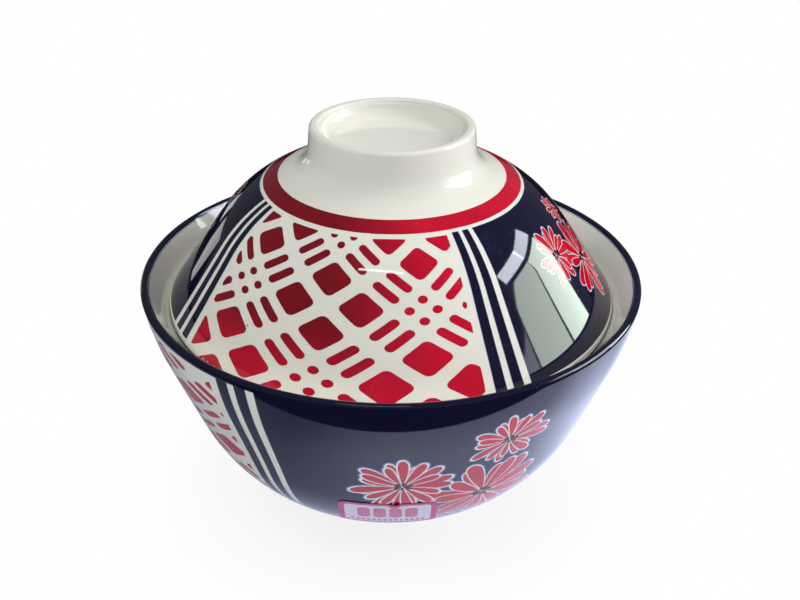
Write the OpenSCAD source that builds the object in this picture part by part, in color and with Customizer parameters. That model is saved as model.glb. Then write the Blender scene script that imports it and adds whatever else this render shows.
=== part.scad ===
// Lidded porcelain rice bowl: a deep bowl on a low foot ring, and a domed lid with a ring grip
// that sits inside the bowl's flared rim. A small paper price label lies on the front of the belly.
// The origin is the centre of the foot ring on the table, with +Z up and the front towards -Y.

/* [Bowl] */
// Outer diameter of the rim
rim_d = 156; // [136:2:190]
// Radius of the rounded lip
lip_r = 1.15; // [0.8:0.05:1.6]
// Thickness of the bowl's wall below the seat
wall_t = 4.8; // [3.6:0.2:6]
// Lean of the straight wall from upright, in degrees
wall_angle = 20; // [14:1:26]
// Radius of the slight swell just below the rim
swell_r = 95; // [70:5:140]
// Length of the straight stretch of the wall
wall_len = 23.5; // [14:0.5:34]
// Radius of the belly where it turns in
belly_r = 58; // [46:1:70]
// Radius of the flatter curve from the belly to the foot
under_r = 90; // [76:2:120]
// Radius of the curve from the wall to the floor inside
floor_curve_r = 42; // [34:1:50]
// Thickness of the floor over the recess in the foot
floor_t = 4.2; // [3:0.2:6]
// Depth of the recess in the foot
foot_recess_h = 4.3; // [3:0.1:6]

/* [Foot ring] */
// Diameter of the foot ring where it meets the belly
foot_d = 60; // [50:1:68]
// Height of the foot ring below the belly
foot_h = 3.8; // [2.8:0.2:6]
// Width of the foot ring
foot_w = 4.6; // [3.4:0.2:6.4]
// Draft of the foot ring over its height
foot_draft = 0.8; // [0.2:0.1:1.2]
// Radius of the foot ring's rounded edges
foot_edge_r = 0.6; // [0.3:0.1:0.9]

/* [Lid] */
// Distance from the rim's outside in to the lid's edge
lid_inset = 8; // [7:0.5:11]
// Radius of the lid's rounded edge
lid_edge_r = 1.7; // [1.3:0.1:2]
// Depth of the edge's middle below the rim
lid_sink = 7.9; // [6:0.1:11]
// Gap between the lid's edge and its seat in the rim
seat_gap = 0.3; // [0.2:0.05:0.5]
// Thickness of the dome
dome_t = 4; // [3:0.2:5]
// Lean of the lid's straight flank from upright, in degrees
flank_angle = 35.5; // [30:0.5:42]
// Length of the straight flank
flank_len = 27.9; // [22:0.5:34]
// Radius of the shoulder between the flank and the crown
crown_r = 44; // [38:1:50]

/* [Grip ring] */
// Outer diameter of the grip ring at the foot of its wall
grip_d = 50.6; // [46:0.2:56]
// Lean of the grip ring's wall from upright, in degrees
grip_angle = 5.5; // [0:0.5:10]
// Height of the grip ring above its fillet
grip_h = 6.4; // [4:0.2:10]
// Width of the grip ring at its top
grip_w = 2.7; // [2.3:0.1:4]
// Radius of the fillet between the grip ring and the crown
grip_fillet_r = 8; // [5:0.5:10]
// Radius of the grip ring's outer edge
grip_outer_edge_r = 1.1; // [0.7:0.1:1.5]
// Radius of the grip ring's inner edge
grip_inner_edge_r = 0.8; // [0.5:0.1:1.1]
// Depth of the recess inside the grip ring
recess_h = 4.7; // [4:0.1:7]
// Draft of the recess wall
recess_draft = 0.8; // [0.2:0.1:1.4]
// Radius where the recess wall meets its floor
recess_curve_r = 1.8; // [1:0.2:2.4]
// Thickness of the lid under the recess
ceiling_t = 5.6; // [4.4:0.2:7]

/* [Price label] */
// Width of the paper label
label_w = 28.6; // [20:0.2:36]
// Height of the paper label
label_h = 18; // [12:0.5:20]
// Radius of the label's corners
label_corner_r = 2.2; // [1:0.1:4]
// Thickness of the paper
label_t = 0.16; // [0.1:0.02:0.3]
// Glue gap between the paper and the glaze
label_gap = 0.03; // [0.02:0.01:0.06]
// Direction in which the label faces, in degrees from +X
label_facing_angle = -90.7; // [-120:0.1:-60]

/* [Hidden] */
// Steps in each long curve and each small round of an outline
curve_steps = 14;
edge_steps = 6;
// Sides of a full turn
$fn = 180;
// Where the belly's curve gives way to the flatter one, in degrees below level
belly_end_angle = 45;
// Direction of the lip's outermost point, in degrees below level
swell_start_angle = 9;
// Lowest start of the lid's ceiling on the curve of the crown, in degrees above level
ceiling_low_angle = 50;
// Radius of the shoulder under the lid's seat, as a multiple of the lid's edge
shoulder_share = 7;
// How far below the seat the shoulder begins, as a multiple of the lid's edge
shoulder_drop_share = 0.6;

// A unit vector in a direction of the outline's plane, from +X in degrees
function way(a) = [cos(a), sin(a)];

// Points of an arc from one direction to another about a centre
function arc(centre, r, from, to, steps) =
    [for (i = [0 : steps]) centre + r * way(from + (to - from) * i / steps)];

// Direction square to the straight line that passes outside one circle and inside the other:
// the first circle lies in the hollow and the second in the wall
function cross_way(hollow, hollow_r, wall, wall_r) =
    let (d = wall - hollow)
    atan2(d[1], d[0]) - acos(min(1, (hollow_r + wall_r) / norm(d)));

// Largest radius of a circle in the wall, which touches a line at a point and just meets a circle
// in the hollow: the point is given from the hollow circle's centre, with the line's normal
function most_between(point, normal, hollow_r) =
    (point * point - pow(hollow_r, 2)) / (2 * (hollow_r - normal * point));

// Outline of the bowl's outside, down from the lip, measured from the rim's height
lip = [rim_d / 2 - lip_r, -lip_r];
swell = lip - (swell_r - lip_r) * way(-swell_start_angle);
wall_top = swell + swell_r * way(-wall_angle);
wall_low = wall_top - wall_len * way(90 - wall_angle);
belly = wall_low - belly_r * way(-wall_angle);
under = belly - (under_r - belly_r) * way(-belly_end_angle);
under_end_angle = acos((foot_d / 2 - under[0]) / under_r);
foot_top = under + under_r * way(-under_end_angle);
bowl_h = foot_h - foot_top[1];

// Outline of the bowl's inside, up from the floor
lid_edge = [rim_d / 2 - lid_inset - lid_edge_r, -lid_sink];
seat_r = lid_edge_r + seat_gap;
flare = cross_way(lid_edge, seat_r, lip, lip_r);
inner_belly_r = belly_r - wall_t;
shoulder_start = lid_edge + seat_r * way(flare) - shoulder_drop_share * lid_edge_r * way(flare + 90);
shoulder_r = min(shoulder_share * lid_edge_r,
    most_between(shoulder_start - belly, way(flare), inner_belly_r));
shoulder = shoulder_start + shoulder_r * way(flare);
inner_angle = cross_way(belly, inner_belly_r, shoulder, shoulder_r);
inner_under_r = under_r - wall_t;
under_floor_z = foot_recess_h - bowl_h;
floor_z = under_floor_z + floor_t;
floor_bend_r = min(floor_curve_r,
    (under[1] - floor_z - inner_under_r * sin(belly_end_angle)) / (1 - sin(belly_end_angle)));
floor_start_angle = asin((under[1] - floor_z - floor_bend_r) / (inner_under_r - floor_bend_r));
floor_curve = under + (inner_under_r - floor_bend_r) * way(-floor_start_angle);

// Outline of the lid
flank_low = lid_edge + lid_edge_r * way(flank_angle);
flank_top = flank_low + flank_len * way(flank_angle + 90);
crown = flank_top - crown_r * way(flank_angle);
fillet_x = grip_d / 2 + grip_fillet_r * cos(grip_angle);
fillet_reach = crown_r + grip_fillet_r;
fillet = [fillet_x, crown[1] + sqrt(pow(fillet_reach, 2) - pow(fillet_x - crown[0], 2))];
fillet_end_angle = atan2(fillet[1] - crown[1], fillet[0] - crown[0]);
grip_foot = fillet - grip_fillet_r * way(grip_angle);
land_z = fillet[1] + grip_h;
grip_top_r = grip_foot[0] - (land_z - grip_foot[1]) * tan(grip_angle);
grip_edge_x = grip_top_r - grip_outer_edge_r * (1 - sin(grip_angle)) / cos(grip_angle);
recess_z = land_z - recess_h;
recess_top_r = grip_top_r - grip_w;
recess_floor_r = recess_top_r - recess_draft;
inner_crown_r = crown_r - dome_t;
ceiling_most_rise = inner_crown_r + crown[0] * (1 - sin(ceiling_low_angle)) / cos(ceiling_low_angle);
ceiling_rise = min(recess_z - ceiling_t - crown[1], ceiling_most_rise);
ceiling_r = (pow(crown[0], 2) + pow(ceiling_rise, 2) - pow(inner_crown_r, 2))
    / (2 * (ceiling_rise - inner_crown_r));
ceiling_centre = [0, crown[1] + ceiling_rise - ceiling_r];
ceiling_start_angle = atan2(ceiling_r - ceiling_rise, crown[0]);

// Middle of the label, in degrees below level on the belly's curve
label_half_angle = label_h / belly_r * 90 / PI;
label_start_share = 0.152;
label_middle_angle = wall_angle + (belly_end_angle - wall_angle) * label_start_share + label_half_angle;

// Closed outline of the bowl's section, from the axis under the floor round to the axis inside
function bowl_outline() = concat(
    [[0, under_floor_z],
     [foot_d / 2 - foot_w, under_floor_z]],
    arc([foot_d / 2 - foot_w + foot_edge_r, foot_edge_r - bowl_h], foot_edge_r, 180, 270, edge_steps),
    arc([foot_d / 2 - foot_draft - foot_edge_r, foot_edge_r - bowl_h], foot_edge_r, 270, 360, edge_steps),
    arc(under, under_r, -under_end_angle, -belly_end_angle, curve_steps),
    arc(belly, belly_r, -belly_end_angle, -wall_angle, curve_steps),
    arc(swell, swell_r, -wall_angle, -swell_start_angle, curve_steps),
    arc(lip, lip_r, -swell_start_angle, flare + 180, 2 * edge_steps),
    arc(shoulder, shoulder_r, flare + 180, inner_angle + 180, edge_steps),
    arc(belly, inner_belly_r, inner_angle, -belly_end_angle, curve_steps),
    arc(under, inner_under_r, -belly_end_angle, -floor_start_angle, edge_steps),
    arc(floor_curve, floor_bend_r, -floor_start_angle, -90, curve_steps),
    [[0, floor_z]]);

// Closed outline of the lid's section, from the axis in the recess round to the axis inside
function lid_outline() = concat(
    [[0, recess_z]],
    arc([recess_floor_r - recess_curve_r, recess_z + recess_curve_r], recess_curve_r, -90, 0, edge_steps),
    arc([recess_top_r + grip_inner_edge_r, land_z - grip_inner_edge_r], grip_inner_edge_r, 180, 90, edge_steps),
    arc([grip_edge_x, land_z - grip_outer_edge_r], grip_outer_edge_r, 90, grip_angle, edge_steps),
    arc(fillet, grip_fillet_r, grip_angle + 180, fillet_end_angle + 180, curve_steps),
    arc(crown, crown_r, fillet_end_angle, flank_angle, curve_steps),
    arc(lid_edge, lid_edge_r, flank_angle, flank_angle - 180, 2 * edge_steps),
    arc(crown, inner_crown_r, flank_angle, ceiling_start_angle, curve_steps),
    arc(ceiling_centre, ceiling_r, ceiling_start_angle, 90, curve_steps));

// A solid of revolution from an outline measured from the rim's height
module turned(outline) {
    translate([0, 0, bowl_h])
        rotate_extrude()
            polygon(outline);
}

// Flat outline of the label with rounded corners
module label_outline() {
    inner_w = label_w - 2 * label_corner_r;
    inner_h = label_h - 2 * label_corner_r;
    square([label_w, inner_h], center = true);
    square([inner_w, label_h], center = true);
    for (x = [-1, 1], y = [-1, 1])
        translate([x * inner_w / 2, y * inner_h / 2])
            circle(label_corner_r);
}

// Deep bowl with its foot ring, in one piece
module bowl() {
    color("midnightblue")
        turned(bowl_outline());
}

// Domed lid with its grip ring, in one piece
module lid() {
    color("ivory")
        turned(lid_outline());
}

// Paper label that follows the belly
module price_label() {
    sheet = concat(
        arc(belly, belly_r + label_gap, -wall_angle, -belly_end_angle, curve_steps),
        arc(under, under_r + label_gap, -belly_end_angle, -under_end_angle, edge_steps),
        arc(under, under_r + label_gap + label_t, -under_end_angle, -belly_end_angle, edge_steps),
        arc(belly, belly_r + label_gap + label_t, -belly_end_angle, -wall_angle, curve_steps));
    color("hotpink")
        intersection() {
            turned(sheet);
            translate([0, 0, bowl_h + belly[1]])
                rotate([0, 0, label_facing_angle])
                    translate([belly[0], 0, 0])
                        rotate([0, 90 + label_middle_angle, 0])
                            rotate([0, 0, 90])
                                linear_extrude(2 * belly_r)
                                    label_outline();
        }
}

bowl();
lid();
price_label();
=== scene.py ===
"""Lidded rice bowl in glazed porcelain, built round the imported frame.

The bowl and the lid are turned again from their sections in fine steps. Their painted decoration lies
on them as thin films of colour under the same gloss: plaid, stripes, bands and blooms. A small paper
label is stuck to the belly. Sizes in the dataclasses are millimetres and degrees.
"""

import logging
import math
from dataclasses import dataclass, field
from enum import Enum
from functools import cached_property

import bmesh
import bpy
from mathutils import Matrix


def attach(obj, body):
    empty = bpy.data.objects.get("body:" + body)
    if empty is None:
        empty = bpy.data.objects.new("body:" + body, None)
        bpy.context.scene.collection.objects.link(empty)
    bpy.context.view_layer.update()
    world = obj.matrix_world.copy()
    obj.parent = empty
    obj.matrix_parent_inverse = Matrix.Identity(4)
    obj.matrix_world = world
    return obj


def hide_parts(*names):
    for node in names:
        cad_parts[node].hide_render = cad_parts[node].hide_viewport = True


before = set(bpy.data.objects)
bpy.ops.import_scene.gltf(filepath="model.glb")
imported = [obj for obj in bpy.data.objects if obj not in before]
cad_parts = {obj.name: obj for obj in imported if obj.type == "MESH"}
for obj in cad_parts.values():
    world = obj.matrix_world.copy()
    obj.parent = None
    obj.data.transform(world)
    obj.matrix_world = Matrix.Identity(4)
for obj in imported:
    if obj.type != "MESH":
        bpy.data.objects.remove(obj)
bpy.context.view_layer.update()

MM = 0.001
# Widest turn of one piece of an arc in a section, in degrees.
ARC_TURN = 9.0
# Two points of a section closer than this share of its step are one point.
SAME_SPOT = 0.02
# Pieces of the curve that rounds off a glazed corner.
EASE_PIECES = 8
# Points of a turned body closer than this, in metres, are merged, which closes the seam and the poles.
SEAM_GAP = 0.000002
# How deep the underside of a printed film lies in the glaze, in millimetres.
FILM_SINK = 0.01
# The distance from the axis, in metres, at which the wander of the prints is measured, and its fineness.
WANDER_R = 0.06
WANDER_SCALE = 11.0
# Sockets of a Mix node that mixes colours: the two colours and the result.
MIX_FIRST, MIX_SECOND, MIX_RESULT = 6, 7, 2
Point = tuple[float, float]
Colour = tuple[float, float, float]
log = logging.getLogger("rice_bowl")


def way(angle: float, reach: float = 1.0, start: Point = (0.0, 0.0)) -> Point:
    """Return the point that lies at a reach from a start, in a direction in degrees from +X."""
    turn = math.radians(angle)
    return (start[0] + reach * math.cos(turn), start[1] + reach * math.sin(turn))


def gap(a: Point, b: Point) -> float:
    """Return the distance between two points."""
    return math.hypot(b[0] - a[0], b[1] - a[1])


def painted(red: int, green: int, blue: int) -> Colour:
    """Return a screen colour of 0 to 255 as the linear colour that a shader takes."""
    shares = (channel / 255 for channel in (red, green, blue))
    return tuple(s / 12.92 if s <= 0.04045 else ((s + 0.055) / 1.055) ** 2.4 for s in shares)


class Ink(Enum):
    """The colours of the decoration, by the words that the names of their prints hold."""

    RED = "red"
    MIST = "mist"
    NAVY = "navy"
    COBALT = "cobalt"
    WHITE = "white"


class Section:
    """The outline that a turned piece is turned from, as points from the axis and from the table."""

    def __init__(self, step: float) -> None:
        """Start an empty outline.

        Args:
            step: Longest distance between two points, in millimetres.
        """
        self.step = step
        self.points: list[Point] = []

    def line_to(self, end: Point) -> "Section":
        """Go straight to a point.

        Args:
            end: The point.

        Returns:
            The section itself.
        """
        if self.points:
            start = self.points[-1]
            pieces = max(1, math.ceil(gap(start, end) / self.step))
            for i in range(1, pieces):
                share = i / pieces
                self.points.append(tuple(s + (e - s) * share for s, e in zip(start, end)))
        if not self.points or gap(self.points[-1], end) > self.step * SAME_SPOT:
            self.points.append(end)
        return self

    def arc(self, centre: Point, radius: float, start: float, end: float) -> "Section":
        """Go straight to the start of an arc and then round it.

        Args:
            centre: Centre of the arc.
            radius: Radius of the arc.
            start: Direction of the arc's start from its centre, in degrees.
            end: Direction of its end.

        Returns:
            The section itself.
        """
        self.line_to(way(start, radius, centre))
        length = abs(math.radians(end - start)) * radius
        pieces = max(math.ceil(length / self.step), math.ceil(abs(end - start) / ARC_TURN))
        for i in range(1, pieces + 1):
            self.points.append(way(start + (end - start) * i / pieces, radius, centre))
        return self

    def eased(self, corner: Point, reach: float) -> "Section":
        """Round off a sharp corner, as glaze does.

        Args:
            corner: The corner, which is a point of the outline.
            reach: Length of the rounding on each side.

        Returns:
            The section itself.
        """
        at = min(range(len(self.points)), key=lambda i: gap(self.points[i], corner))
        first = at
        while gap(self.points[first], corner) < reach:
            first -= 1
        last = at
        while gap(self.points[last], corner) < reach:
            last += 1
        a, b = self.points[first], self.points[last]
        curve = []
        for i in range(1, EASE_PIECES):
            t = i / EASE_PIECES
            shares = ((1 - t) ** 2, 2 * t * (1 - t), t * t)
            curve.append(tuple(sum(s * k for s, k in zip(shares, knots)) for knots in zip(a, corner, b)))
        self.points[first + 1:last] = curve
        return self

    def length_to(self, spot: Point) -> float:
        """Return the length of the outline from its start to the point that lies nearest a spot."""
        at = min(range(len(self.points)), key=lambda i: gap(self.points[i], spot))
        return sum(gap(self.points[i], self.points[i + 1]) for i in range(at))

    def radius_at(self, length: float) -> float:
        """Find how far the outline is from the axis.

        Args:
            length: Length from the outline's start.

        Returns:
            The distance from the axis.
        """
        run = 0.0
        for a, b in zip(self.points, self.points[1:]):
            leg = gap(a, b)
            if run + leg >= length:
                return a[0] + (b[0] - a[0]) * (length - run) / leg
            run += leg
        return self.points[-1][0]

    @cached_property
    def guide(self) -> bpy.types.Object:
        """Make the outline a curve in metres, which the trees sample.

        Returns:
            The curve object, made once.
        """
        curve = bpy.data.curves.new("section_guide", "CURVE")
        curve.dimensions = "3D"
        spline = curve.splines.new("POLY")
        spline.points.add(len(self.points) - 1)
        for knot, (across, height) in zip(spline.points, self.points):
            knot.co = (across * MM, 0, height * MM, 1)
        thing = bpy.data.objects.new("section_guide", curve)
        bpy.context.scene.collection.objects.link(thing)
        return thing

    def put_away(self) -> None:
        """Remove the guide once its pieces are made."""
        curve = self.guide.data
        bpy.data.objects.remove(self.guide)
        bpy.data.curves.remove(curve)


@dataclass(frozen=True)
class BowlShape:
    """Sizes of the bowl's section, the same as in the frame."""

    rim_d: float = 156.0
    lip_r: float = 1.15
    wall_t: float = 4.8
    wall_angle: float = 20.0
    swell_r: float = 95.0
    swell_start_angle: float = 9.0
    wall_len: float = 23.5
    belly_r: float = 58.0
    belly_end_angle: float = 45.0
    under_r: float = 90.0
    floor_curve_r: float = 42.0
    floor_t: float = 4.2
    foot_recess_h: float = 4.3
    foot_d: float = 60.0
    foot_h: float = 3.8
    foot_w: float = 4.6
    foot_draft: float = 0.8
    foot_edge_r: float = 0.6
    seat_gap: float = 0.3
    shoulder_share: float = 7.0
    shoulder_drop_share: float = 0.6
    corner_ease: float = 1.3
    paint_lead: float = 3.0
    body_step: float = 1.3
    paint_step: float = 0.4

    def height(self) -> float:
        """Follow the outside from the rim down to the foot.

        Returns:
            The height of the rim over the table.
        """
        lip = (self.rim_d / 2 - self.lip_r, -self.lip_r)
        swell = way(-self.swell_start_angle, self.lip_r - self.swell_r, lip)
        wall_top = way(-self.wall_angle, self.swell_r, swell)
        wall_low = way(90 - self.wall_angle, -self.wall_len, wall_top)
        belly = way(-self.wall_angle, -self.belly_r, wall_low)
        under = way(-self.belly_end_angle, self.belly_r - self.under_r, belly)
        return self.foot_h - under[1] + math.sqrt(self.under_r ** 2 - (self.foot_d / 2 - under[0]) ** 2)

    def lip(self) -> Point:
        """Return the centre of the rounded lip."""
        return (self.rim_d / 2 - self.lip_r, self.height() - self.lip_r)

    def swell(self) -> Point:
        """Return the centre of the swell under the lip."""
        return way(-self.swell_start_angle, self.lip_r - self.swell_r, self.lip())

    def belly(self) -> Point:
        """Follow the outside from the swell over the straight wall.

        Returns:
            The centre of the belly's curve.
        """
        wall_top = way(-self.wall_angle, self.swell_r, self.swell())
        wall_low = way(90 - self.wall_angle, -self.wall_len, wall_top)
        return way(-self.wall_angle, -self.belly_r, wall_low)

    def under(self) -> Point:
        """Return the centre of the curve from the belly to the foot."""
        return way(-self.belly_end_angle, self.belly_r - self.under_r, self.belly())

    def under_end_angle(self) -> float:
        """Return the direction in which the belly meets the foot, in degrees below level."""
        return math.degrees(math.acos((self.foot_d / 2 - self.under()[0]) / self.under_r))

    def flare_angle(self, lid_edge: Point, lid_edge_r: float) -> float:
        """Fit the seat, which runs under the lid's edge to the lip.

        Args:
            lid_edge: Centre of the lid's rounded edge.
            lid_edge_r: Its radius.

        Returns:
            The direction square to the seat, in degrees.
        """
        lip = self.lip()
        slope = math.degrees(math.atan2(lip[1] - lid_edge[1], lip[0] - lid_edge[0]))
        reach = lid_edge_r + self.seat_gap + self.lip_r
        return slope - math.degrees(math.acos(reach / gap(lid_edge, lip)))

    def section(self, lid_edge: Point, lid_edge_r: float) -> Section:
        """Draw the bowl's closed outline.

        Args:
            lid_edge: Centre of the lid's rounded edge.
            lid_edge_r: Its radius.

        Returns:
            The outline, from the axis under the floor round to the axis inside.
        """
        under_floor = self.foot_recess_h
        floor = under_floor + self.floor_t
        inner_foot = self.foot_d / 2 - self.foot_w
        outer_foot = self.foot_d / 2 - self.foot_draft - self.foot_edge_r
        inner_under_r = self.under_r - self.wall_t
        inner_belly_r = self.belly_r - self.wall_t
        flare = self.flare_angle(lid_edge, lid_edge_r)
        start = way(flare, lid_edge_r + self.seat_gap, lid_edge)
        start = way(flare + 90, -self.shoulder_drop_share * lid_edge_r, start)
        shoulder_r = self.shoulder_share * lid_edge_r
        shoulder = way(flare, shoulder_r, start)
        slope = math.degrees(math.atan2(shoulder[1] - self.belly()[1], shoulder[0] - self.belly()[0]))
        inner = slope - math.degrees(math.acos((inner_belly_r + shoulder_r) / gap(self.belly(), shoulder)))
        drop = self.under()[1] - floor - self.floor_curve_r
        floor_angle = math.degrees(math.asin(drop / (inner_under_r - self.floor_curve_r)))
        floor_curve = way(-floor_angle, inner_under_r - self.floor_curve_r, self.under())
        out = Section(self.body_step)
        out.line_to((0, under_floor)).line_to((inner_foot, under_floor))
        out.arc((inner_foot + self.foot_edge_r, self.foot_edge_r), self.foot_edge_r, 180, 270)
        out.arc((outer_foot, self.foot_edge_r), self.foot_edge_r, 270, 360)
        out.arc(self.under(), self.under_r, -self.under_end_angle(), -self.belly_end_angle)
        out.arc(self.belly(), self.belly_r, -self.belly_end_angle, -self.wall_angle)
        out.arc(self.swell(), self.swell_r, -self.wall_angle, -self.swell_start_angle)
        out.arc(self.lip(), self.lip_r, -self.swell_start_angle, flare + 180)
        out.arc(shoulder, shoulder_r, flare + 180, inner + 180)
        out.arc(self.belly(), inner_belly_r, inner, -self.belly_end_angle)
        out.arc(self.under(), inner_under_r, -self.belly_end_angle, -floor_angle)
        out.arc(floor_curve, self.floor_curve_r, -floor_angle, -90)
        out.line_to((0, floor))
        out.eased((inner_foot, under_floor), self.corner_ease)
        return out.eased(way(-self.under_end_angle(), self.under_r, self.under()), self.corner_ease)

    def painted_section(self, lid_edge: Point, lid_edge_r: float) -> Section:
        """Draw the part of the outline that carries the paint.

        Args:
            lid_edge: Centre of the lid's rounded edge.
            lid_edge_r: Its radius.

        Returns:
            The outline, from a little inside the lip down to the foot, in fine steps.
        """
        flare = self.flare_angle(lid_edge, lid_edge_r)
        inner_end = way(flare + 180, self.lip_r, self.lip())
        out = Section(self.paint_step)
        out.line_to(way(flare - 90, self.paint_lead, inner_end))
        out.arc(self.lip(), self.lip_r, flare + 180, -self.swell_start_angle)
        out.arc(self.swell(), self.swell_r, -self.swell_start_angle, -self.wall_angle)
        out.arc(self.belly(), self.belly_r, -self.wall_angle, -self.belly_end_angle)
        return out.arc(self.under(), self.under_r, -self.belly_end_angle, -self.under_end_angle())


@dataclass(frozen=True)
class LidShape:
    """Sizes of the lid's section, the same as in the frame."""

    rim_height: float
    rim_d: float = 156.0
    inset: float = 8.0
    edge_r: float = 1.7
    sink: float = 7.9
    dome_t: float = 4.0
    flank_angle: float = 35.5
    flank_len: float = 27.9
    crown_r: float = 44.0
    grip_d: float = 50.6
    grip_angle: float = 5.5
    grip_h: float = 6.4
    grip_w: float = 2.7
    grip_fillet_r: float = 8.0
    grip_outer_edge_r: float = 1.1
    grip_inner_edge_r: float = 0.8
    recess_h: float = 4.7
    recess_draft: float = 0.8
    recess_curve_r: float = 1.8
    recess_pool_r: float = 3.8
    ceiling_t: float = 5.6
    paint_turn: float = 110.0
    body_step: float = 1.2
    paint_step: float = 0.4

    def edge(self) -> Point:
        """Return the centre of the rounded edge."""
        return (self.rim_d / 2 - self.inset - self.edge_r, self.rim_height - self.sink)

    def flank_low(self) -> Point:
        """Return the lower end of the straight flank."""
        return way(self.flank_angle, self.edge_r, self.edge())

    def crown(self) -> Point:
        """Return the centre of the crown's curve."""
        top = way(self.flank_angle + 90, self.flank_len, self.flank_low())
        return way(self.flank_angle, -self.crown_r, top)

    def fillet(self) -> Point:
        """Fit the fillet between the crown and the grip ring.

        Returns:
            The centre of the fillet.
        """
        across = way(self.grip_angle, self.grip_fillet_r)[0] + self.grip_d / 2
        reach = self.crown_r + self.grip_fillet_r
        return (across, self.crown()[1] + math.sqrt(reach ** 2 - (across - self.crown()[0]) ** 2))

    def fillet_end_angle(self) -> float:
        """Return the direction from the crown's centre in which the fillet meets it."""
        fillet, crown = self.fillet(), self.crown()
        return math.degrees(math.atan2(fillet[1] - crown[1], fillet[0] - crown[0]))

    def land(self) -> float:
        """Return the height of the grip ring's top."""
        return self.fillet()[1] + self.grip_h

    def grip_top_r(self) -> float:
        """Return the radius of the grip ring at its top, where its wall would end without a rounded edge."""
        foot = way(self.grip_angle, -self.grip_fillet_r, self.fillet())
        return foot[0] - (self.land() - foot[1]) * math.tan(math.radians(self.grip_angle))

    def section(self) -> Section:
        """Draw the lid's closed outline.

        Returns:
            The outline, from the axis inside round to the axis in the recess.
        """
        lean = math.radians(self.grip_angle)
        outer_r = self.grip_outer_edge_r
        outer = (self.grip_top_r() - outer_r * (1 - math.sin(lean)) / math.cos(lean), self.land() - outer_r)
        top_r = self.grip_top_r() - self.grip_w
        floor_r = top_r - self.recess_draft
        recess = self.land() - self.recess_h
        inner_r = self.crown_r - self.dome_t
        rise = recess - self.ceiling_t - self.crown()[1]
        across = self.crown()[0]
        ceiling_r = (across ** 2 + rise ** 2 - inner_r ** 2) / (2 * (rise - inner_r))
        ceiling = (0.0, self.crown()[1] + rise - ceiling_r)
        turn = math.degrees(math.atan2(ceiling_r - rise, across))
        out = Section(self.body_step)
        out.arc(ceiling, ceiling_r, 90, turn)
        out.arc(self.crown(), inner_r, turn, self.flank_angle)
        out.arc(self.edge(), self.edge_r, self.flank_angle - 180, self.flank_angle)
        out.arc(self.crown(), self.crown_r, self.flank_angle, self.fillet_end_angle())
        out.arc(self.fillet(), self.grip_fillet_r, self.fillet_end_angle() + 180, self.grip_angle + 180)
        out.arc(outer, outer_r, self.grip_angle, 90)
        inner_edge_r = self.grip_inner_edge_r
        out.arc((top_r + inner_edge_r, self.land() - inner_edge_r), inner_edge_r, 90, 180)
        pool_r = max(self.recess_curve_r, self.recess_pool_r)
        out.arc((floor_r - pool_r, recess + pool_r), pool_r, 0, -90)
        return out.line_to((0, recess))

    def painted_section(self) -> Section:
        """Draw the part of the outline that carries the paint.

        Returns:
            The outline, from the grip ring down to the edge, in fine steps.
        """
        out = Section(self.paint_step)
        out.arc(self.fillet(), self.grip_fillet_r, self.grip_angle + 180, self.fillet_end_angle() + 180)
        out.arc(self.crown(), self.crown_r, self.fillet_end_angle(), self.flank_angle)
        return out.arc(self.edge(), self.edge_r, self.flank_angle, self.flank_angle - self.paint_turn)


class Field:
    """A number that a tree works out at each point, written with plain arithmetic."""

    def __init__(self, tree: "Tree", source: bpy.types.NodeSocket | float) -> None:
        """Hold a socket or a plain number of a tree."""
        self.tree = tree
        self.source = source

    def __add__(self, other: "Field | float") -> "Field":
        """Return the sum."""
        return self.tree.math("ADD", self, other)

    def __sub__(self, other: "Field | float") -> "Field":
        """Return the difference."""
        return self.tree.math("SUBTRACT", self, other)

    def __mul__(self, other: "Field | float") -> "Field":
        """Return the product."""
        return self.tree.math("MULTIPLY", self, other)

    def __truediv__(self, other: "Field | float") -> "Field":
        """Return the quotient."""
        return self.tree.math("DIVIDE", self, other)

    def __rsub__(self, other: float) -> "Field":
        """Return a number less this one."""
        return self.tree.math("SUBTRACT", other, self)

    def __rtruediv__(self, other: float) -> "Field":
        """Return a number divided by this one."""
        return self.tree.math("DIVIDE", other, self)

    __radd__ = __add__
    __rmul__ = __mul__


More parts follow.
